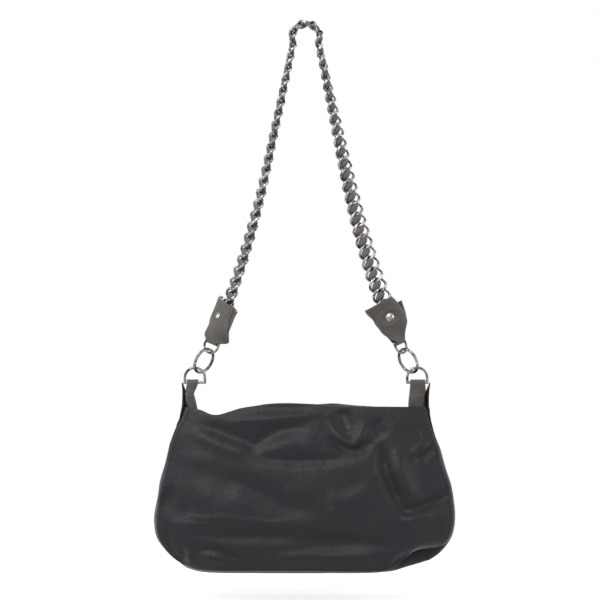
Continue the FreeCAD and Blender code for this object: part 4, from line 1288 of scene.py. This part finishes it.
# Chain end tabs, in millimetres. Edges of each ply: height above the ring's bar, inner edge and outer edge
END_TAB_BELOW_RIVET = 27.0
END_TAB_FOLD_TURN = {"left": 28.0, "right": 45.0}
END_TAB_EDGES = {
    "left": {
        "front": [(0, -6.5, 7.5), (2.5, -13, 10.5), (6, -20, 12.3), (12, -20.5, 15), (20, -18.5, 19),
                  (27, -17, 18.6), (36, -16.5, 17.4), (44, -15.5, 15.4)],
        "back": [(0, -6.5, 7.5), (2.5, -12, 10), (6, -18, 11.8), (12, -19, 14.5), (20, -18.5, 18),
                 (27, -18, 17.6), (41, -17.5, 15)],
    },
    "right": {
        "front": [(0, -6.5, 6.5), (7, -9, 9.5), (17, -12, 13.5), (27, -14.8, 15), (36, -17.3, 13),
                  (41, -18.8, 10.8), (45, -19.4, 8.8)],
        "back": [(0, -6.5, 6.5), (7, -9, 10), (17, -12, 14.6), (27, -14.5, 16.6), (37, -17, 17.2)],
    },
}
# Half of the room between the plies at heights above the bar
END_TAB_ROOM = [(0, 1.5), (4, 1.7), (9, 2.8), (14, 4.1), (18, 4.9), (27, 4.9), (34, 5.2), (45, 7.2)]
# Slope of the top edge and where it starts, how the plies close at their edges, and where the turn ends
END_TAB_SLOPE = {"left": 2.8, "right": 1.8}
END_TAB_SLOPE_START = 20
END_TAB_ROUNDING = {"left": 3.0, "right": 5.0}
END_TAB_CLOSED = 7
END_TAB_TURNED = 18.0
# Waves of a tab's inner edge and of its faces: height, and length across or up
EDGE_WAVE = 0.7
EDGE_WAVE_UP = 4.2
FACE_WAVE = 0.45
FACE_WAVE_ACROSS = 6.0
FACE_WAVE_UP = 8.0
TAB_BEVEL = 0.4 * MM
# Wear of the tabs: at the fold, along the edges and along the top
FOLD_WEAR = 0.25
TAB_EDGE_WEAR = 0.55
TAB_TOP_WEAR = 0.5
# Leather raised over the hidden link and sunk round the rivet: height, radius and width, and the link's shape
LINK_RELIEF = 0.6
LINK_RING = (7.6, 1.2)
LINK_SHAPE = (1.5, 1.05)
SEAT_RELIEF = 0.5
SEAT_RING = (5.4, 0.8)


class BAG_OT_end_tabs(bpy.types.Operator):
    """Make the folded leather tabs at the ends of the chain"""
    bl_idname = "chain_bag.end_tabs"
    bl_label = "Chain end tabs"

    def execute(self, context):
        for name in SIDES:
            self.tab(name)
        return {"FINISHED"}

    def tab(self, name):
        """A strip that runs down in front, round the ring's bar and up behind."""
        side = SIDES[name]
        down = leaning(END_LEAN, side)[0]
        bar = chain_links(name)[-1][0] + down * (LINK_PITCH / 2 + END_TAB_BELOW_RIVET * MM)
        room_heights, rooms = np.array(END_TAB_ROOM).T
        fold_turn, top_turn = END_TAB_FOLD_TURN[name], END_FACE_TURN[name]
        from_middle = edge_spacing(34, 0.5) * 2 - 1
        edge_worn = TAB_EDGE_WEAR * ridge(np.abs(from_middle), 1, 0.05)
        fold = np.linspace(0, math.pi, 11)[1:-1]
        rows, wear = [], []
        for ply in (1, 0, -1):
            edges = np.array(END_TAB_EDGES[name]["back" if ply < 0 else "front"]).T
            top = edges[0, -1]
            places = {1: np.linspace(top, 0, 44), 0: fold, -1: np.linspace(0, top, 40)}[ply]
            for place in places:
                level = place if ply else 0.0
                turn = between(fold_turn, top_turn, ease(level / END_TAB_TURNED))
                width, face = turned(END_LEAN, side, float(turn))
                low, high = (np.interp(level, edges[0], edge) for edge in edges[1:])
                across = (low + high) / 2 + from_middle * (high - low) / 2
                waving = EDGE_WAVE * math.sin(level / EDGE_WAVE_UP + ply) * ease(level / 12)
                across = across + waving * np.clip(-from_middle, 0, 1) ** 3
                if ply == 0:
                    swing = face * math.cos(place) + down * math.sin(place)
                    rows.append(bar + width * across[:, None] * MM + swing * rooms[0] * MM)
                    wear.append(np.full(len(from_middle), FOLD_WEAR))
                    continue
                shut = np.sqrt(1 - np.abs(from_middle) ** END_TAB_ROUNDING[name])
                shut = between(1, shut, ease(level / END_TAB_CLOSED))
                uneven = FACE_WAVE * shut * np.sin(across / FACE_WAVE_ACROSS + level / FACE_WAVE_UP + ply)
                off = np.interp(level, room_heights, rooms) * shut
                off = off + shut * self.relief(across, level - END_TAB_BELOW_RIVET)
                off = off + uneven * ease((level - 3) / 9)
                sloped = ease((level - END_TAB_SLOPE_START) / (top - END_TAB_SLOPE_START))
                height = level + END_TAB_SLOPE[name] * from_middle * sloped
                rows.append(bar - down * height[:, None] * MM + width * across[:, None] * MM
                            + face * (ply * off)[:, None] * MM)
                wear.append(edge_worn + TAB_TOP_WEAR * ridge(level, top, 1.0))
        inner, normals = turned_to(np.array(rows), 20, turned(END_LEAN, side, top_turn)[1])
        worn = np.array(wear)
        piece = Piece()
        piece.add_plies(inner + normals * bpy.context.scene.strap_shape.tab_ply, inner, worn, worn)
        node = "end_tab_" + name
        made = piece.make(node + "_leather", finish_of("leather_grey"), BODY_OF[node], "leather_grey", node)
        soften(made, TAB_BEVEL)

    def relief(self, across, rise):
        """The hidden link pressed through the leather, and the ring that the rivet's head was set with."""
        link = np.hypot(across / LINK_SHAPE[0], rise / LINK_SHAPE[1])
        seat = np.hypot(across, rise)
        return LINK_RELIEF * ridge(link, *LINK_RING) - SEAT_RELIEF * ridge(seat, *SEAT_RING)


# D-ring loops: millimetres below the D-ring's bar, inner edge and outer edge from the bar's middle, and turn
LOOP_EDGES = {
    "left": [(0, -3.6, 8.2, 0), (5, -1.5, 9.0, 14), (12, 2.0, 10.6, 30), (20, -0.5, 10, 24),
             (27, -2.5, 6.5, 14), (42, -3.5, 4.5, 8)],
    "right": [(0, -7.2, 8.2, 0), (12, -8.2, 9.2, 4), (22, -9.2, 9.2, 6), (30, -9.4, 5.5, 6),
              (42, -9, 4.5, 4)],
}
# Radius of the D-ring's wire, half of the room round it and below it, and height of the waves in the plies
RING_WIRE = 1.4
LOOP_ROOM = RING_WIRE + 0.3
LOOP_SHUT = 0.12
LOOP_WAVE = 0.4
# Seam across a loop: place, how far it is pressed in, wear, and length and gap of its stitches
LOOP_SEAM_DROP = 12.0
LOOP_SEAM_PRESS = 0.4
LOOP_SEAM_WEAR = {"left": 0.3, "right": 1.0}
LOOP_EDGE_WEAR = 0.5
LOOP_STITCH = 2.0 * MM
LOOP_STITCH_GAP = 0.7 * MM


class BAG_OT_loop_tabs(bpy.types.Operator):
    """Make the leather loops that hold the D-rings"""
    bl_idname = "chain_bag.loop_tabs"
    bl_label = "D-ring loops"

    def execute(self, context):
        for name in SIDES:
            self.loop(name)
        return {"FINISHED"}

    def loop(self, name):
        """A strip folded over the D-ring's bar, its plies sewn together below."""
        side = SIDES[name]
        node = "loop_tab_" + name
        low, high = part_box("loop_tab_" + name)
        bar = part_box("dring_" + name)[0].z / MM + RING_WIRE
        middle = (low.x + high.x) / 2 / MM
        drops = np.linspace(bar - low.z / MM, 0, 44)
        table = np.array(LOOP_EDGES[name]).T
        from_middle = edge_spacing(22, 0.5) * 2 - 1
        edge_worn = LOOP_EDGE_WEAR * ridge(np.abs(from_middle), 1, 0.08)
        rows, wear = [], []
        for ply, values in ((-1, drops), (0, np.linspace(0, math.pi, 13)[1:-1]), (1, drops[::-1])):
            for value in values:
                drop = value if ply else 0.0
                near, far, turn = (np.interp(drop, table[0], column) for column in table[1:])
                across = (near + far) / 2 + from_middle * (far - near) / 2
                closing = ease(drop / 8)
                seam = ridge(drop, LOOP_SEAM_DROP, 1.0)
                waving = LOOP_WAVE * np.sin(drop / 5 + 2 * from_middle) * ease(drop / 6)
                off = between(LOOP_ROOM, LOOP_SHUT, closing)
                off = off + waving * (1 - from_middle * from_middle) - LOOP_SEAM_PRESS * seam * closing
                angle = math.radians(turn)
                if ply:
                    out = across * math.cos(angle) + ply * off * math.sin(angle)
                    back = across * math.sin(angle) * side + ply * off * math.cos(angle)
                    rise = np.full_like(from_middle, -drop)
                else:
                    out = across
                    back = np.full_like(from_middle, -LOOP_ROOM * math.cos(value))
                    rise = np.full_like(from_middle, LOOP_ROOM * math.sin(value))
                rows.append(np.stack([(middle + side * out) * MM, back * MM, (bar + rise) * MM], -1))
                wear.append(edge_worn + LOOP_SEAM_WEAR[name] * seam)
        inner, normals = turned_to(np.array(rows), 20, (0, -1, 0))
        outer = inner + normals * bpy.context.scene.strap_shape.loop_ply
        worn = np.array(wear)
        piece = Piece()
        piece.add_plies(outer, inner, worn, worn)
        made = piece.make(node + "_leather", finish_of("leather_grey"), "bag", "leather_black", node)
        soften(made, TAB_BEVEL)
        sewn_row = int(np.argmin(np.abs(drops - LOOP_SEAM_DROP)))
        sewn_rows = (sewn_row, len(inner) - 1 - sewn_row)
        lines = [(outer[row][2:-2], normals[row][2:-2]) for row in sewn_rows]
        make_stitches("loop_stitching_" + name, lines, LOOP_STITCH, LOOP_STITCH_GAP)


def seen_or_mirrored(tree):
    """Socket that is 1 for rays from the camera, mirrors and glass, and nought for the rest."""
    rays = tree.nodes.new("ShaderNodeLightPath")
    seen = rays.outputs["Is Camera Ray"]
    for name in ("Is Glossy Ray", "Is Transmission Ray"):
        either = tree.nodes.new("ShaderNodeMath")
        either.operation = "MAXIMUM"
        tree.links.new(seen, either.inputs[0])
        tree.links.new(rays.outputs[name], either.inputs[1])
        seen = either.outputs["Value"]
    return seen


# Stage: width of the camera's sensor in millimetres, and the floor's size and where it starts and ends fading
SENSOR_WIDTH = 36
FLOOR_RADIUS = 1.4
FLOOR_SIDES = 64
FLOOR_FADE = (0.12, 0.6)


class BAG_OT_stage(bpy.types.Operator):
    """Set the camera, the floor and the soft studio light"""
    bl_idname = "chain_bag.stage"
    bl_label = "Stage"

    def execute(self, context):
        scene = context.scene
        stage = scene.bag_stage
        scene.view_settings.view_transform = "Standard"
        middle = Vector(stage.picture_middle)
        lens = bpy.data.cameras.new("camera")
        lens.sensor_width = SENSOR_WIDTH
        lens.lens = SENSOR_WIDTH * stage.camera_distance / stage.picture_width
        camera = bpy.data.objects.new("camera", lens)
        scene.collection.objects.link(camera)
        camera.location = middle - Vector((0, stage.camera_distance, 0))
        camera.rotation_euler = (math.pi / 2, 0, 0)
        scene.camera = camera
        self.floor(stage)
        self.lamp("key_lamp", stage.lamp_power, 1.2, (-0.6, -1.3, 0.95), middle)
        self.lamp("left_lamp", stage.fill_power, 1.0, (-1.6, -0.3, 0.0), middle)
        self.lamp("right_lamp", stage.fill_power, 1.0, (1.6, -0.5, 0.1), middle)
        self.lamp("back_lamp", stage.back_power, 1.3, (0.5, 1.5, 0.75), middle)
        self.surroundings(stage)
        return {"FINISHED"}

    def floor(self, stage):
        """Pale floor that fades into the white surroundings."""
        level = cad_box[0].z - stage.floor_drop
        mesh = bpy.data.meshes.new("floor")
        turns = np.linspace(0, 2 * math.pi, FLOOR_SIDES, endpoint=False)
        points = [(FLOOR_RADIUS * math.cos(turn), FLOOR_RADIUS * math.sin(turn), level) for turn in turns]
        mesh.from_pydata(points, [], [list(range(FLOOR_SIDES))])
        floor = bpy.data.objects.new("floor", mesh)
        bpy.context.scene.collection.objects.link(floor)
        made = Finish("pale_floor", tuple(stage.floor_colour), 0.8, specular=0.1)
        reach = made.node("ShaderNodeVectorMath", {0: made.stretched((1, 1, 0))}, operation="LENGTH")
        made.set(made.mixed(made.noise(9, 3), tuple(stage.floor_colour), scaled(stage.floor_colour, 0.97)))
        made.shader.inputs["Emission Color"].default_value = (1, 1, 1, 1)
        made.feed(made.shader.inputs["Emission Strength"],
                  made.spread(seen_or_mirrored(made.tree), 0, 1, 0, stage.floor_glow))
        made.feed(made.shader.inputs["Alpha"], made.spread(reach.outputs["Value"], *FLOOR_FADE, 1, 0))
        mesh.materials.append(made.material)

    def lamp(self, name, power, size, place, target):
        """Large square soft lamp that looks at the bag."""
        light = bpy.data.lights.new(name, "AREA")
        light.energy = power
        light.size = size
        lamp = bpy.data.objects.new(name, light)
        bpy.context.scene.collection.objects.link(lamp)
        lamp.location = place
        lamp.rotation_euler = (target - Vector(place)).to_track_quat("-Z", "Y").to_euler()

    def surroundings(self, stage):
        """White all round where it is seen or mirrored, and a plain soft light elsewhere."""
        world = bpy.data.worlds.new("white_surroundings")
        bpy.context.scene.world = world
        world.use_nodes = True
        tree = world.node_tree
        background = tree.nodes["Background"]
        background.inputs["Color"].default_value = (1, 1, 1, 1)
        level = tree.nodes.new("ShaderNodeMapRange")
        level.inputs["To Min"].default_value = stage.sky_strength
        tree.links.new(seen_or_mirrored(tree), level.inputs["Value"])
        tree.links.new(level.outputs["Result"], background.inputs["Strength"])


OPERATORS = (BAG_OT_stage, BAG_OT_metal, BAG_OT_shell, BAG_OT_mouth, BAG_OT_inside, BAG_OT_laces,
             BAG_OT_end_tabs, BAG_OT_loop_tabs)
GROUPS = {"bag_shape": BagShape, "strap_shape": StrapShape, "bag_finishes": BagFinishes,
          "bag_stage": BagStage}


class BAG_PT_panel(bpy.types.Panel):
    """Lists the pieces of the bag"""
    bl_idname = "BAG_PT_panel"
    bl_label = "Chain Bag"
    bl_space_type = "VIEW_3D"
    bl_region_type = "UI"
    bl_category = "Chain Bag"

    def draw(self, context):
        for operator in OPERATORS:
            self.layout.operator(operator.bl_idname)
        for group in (getattr(context.scene, name) for name in GROUPS):
            box = self.layout.box()
            for name in group.bl_rna.properties.keys():
                if name not in ("rna_type", "name"):
                    box.prop(group, name)


def register():
    """Register the classes and hang the property groups on the scene."""
    for made in (*GROUPS.values(), *OPERATORS, BAG_PT_panel):
        bpy.utils.register_class(made)
    for name, group in GROUPS.items():
        setattr(bpy.types.Scene, name, bpy.props.PointerProperty(type=group))


def unregister():
    """Take the property groups and classes away again."""
    for name in GROUPS:
        delattr(bpy.types.Scene, name)
    for made in (BAG_PT_panel, *reversed(OPERATORS), *reversed(GROUPS.values())):
        bpy.utils.unregister_class(made)


def main():
    """Build every piece in order."""
    register()
    for operator in OPERATORS:
        group, name = operator.bl_idname.split(".")
        getattr(getattr(bpy.ops, group), name)()


if __name__ == "__main__":
    main()
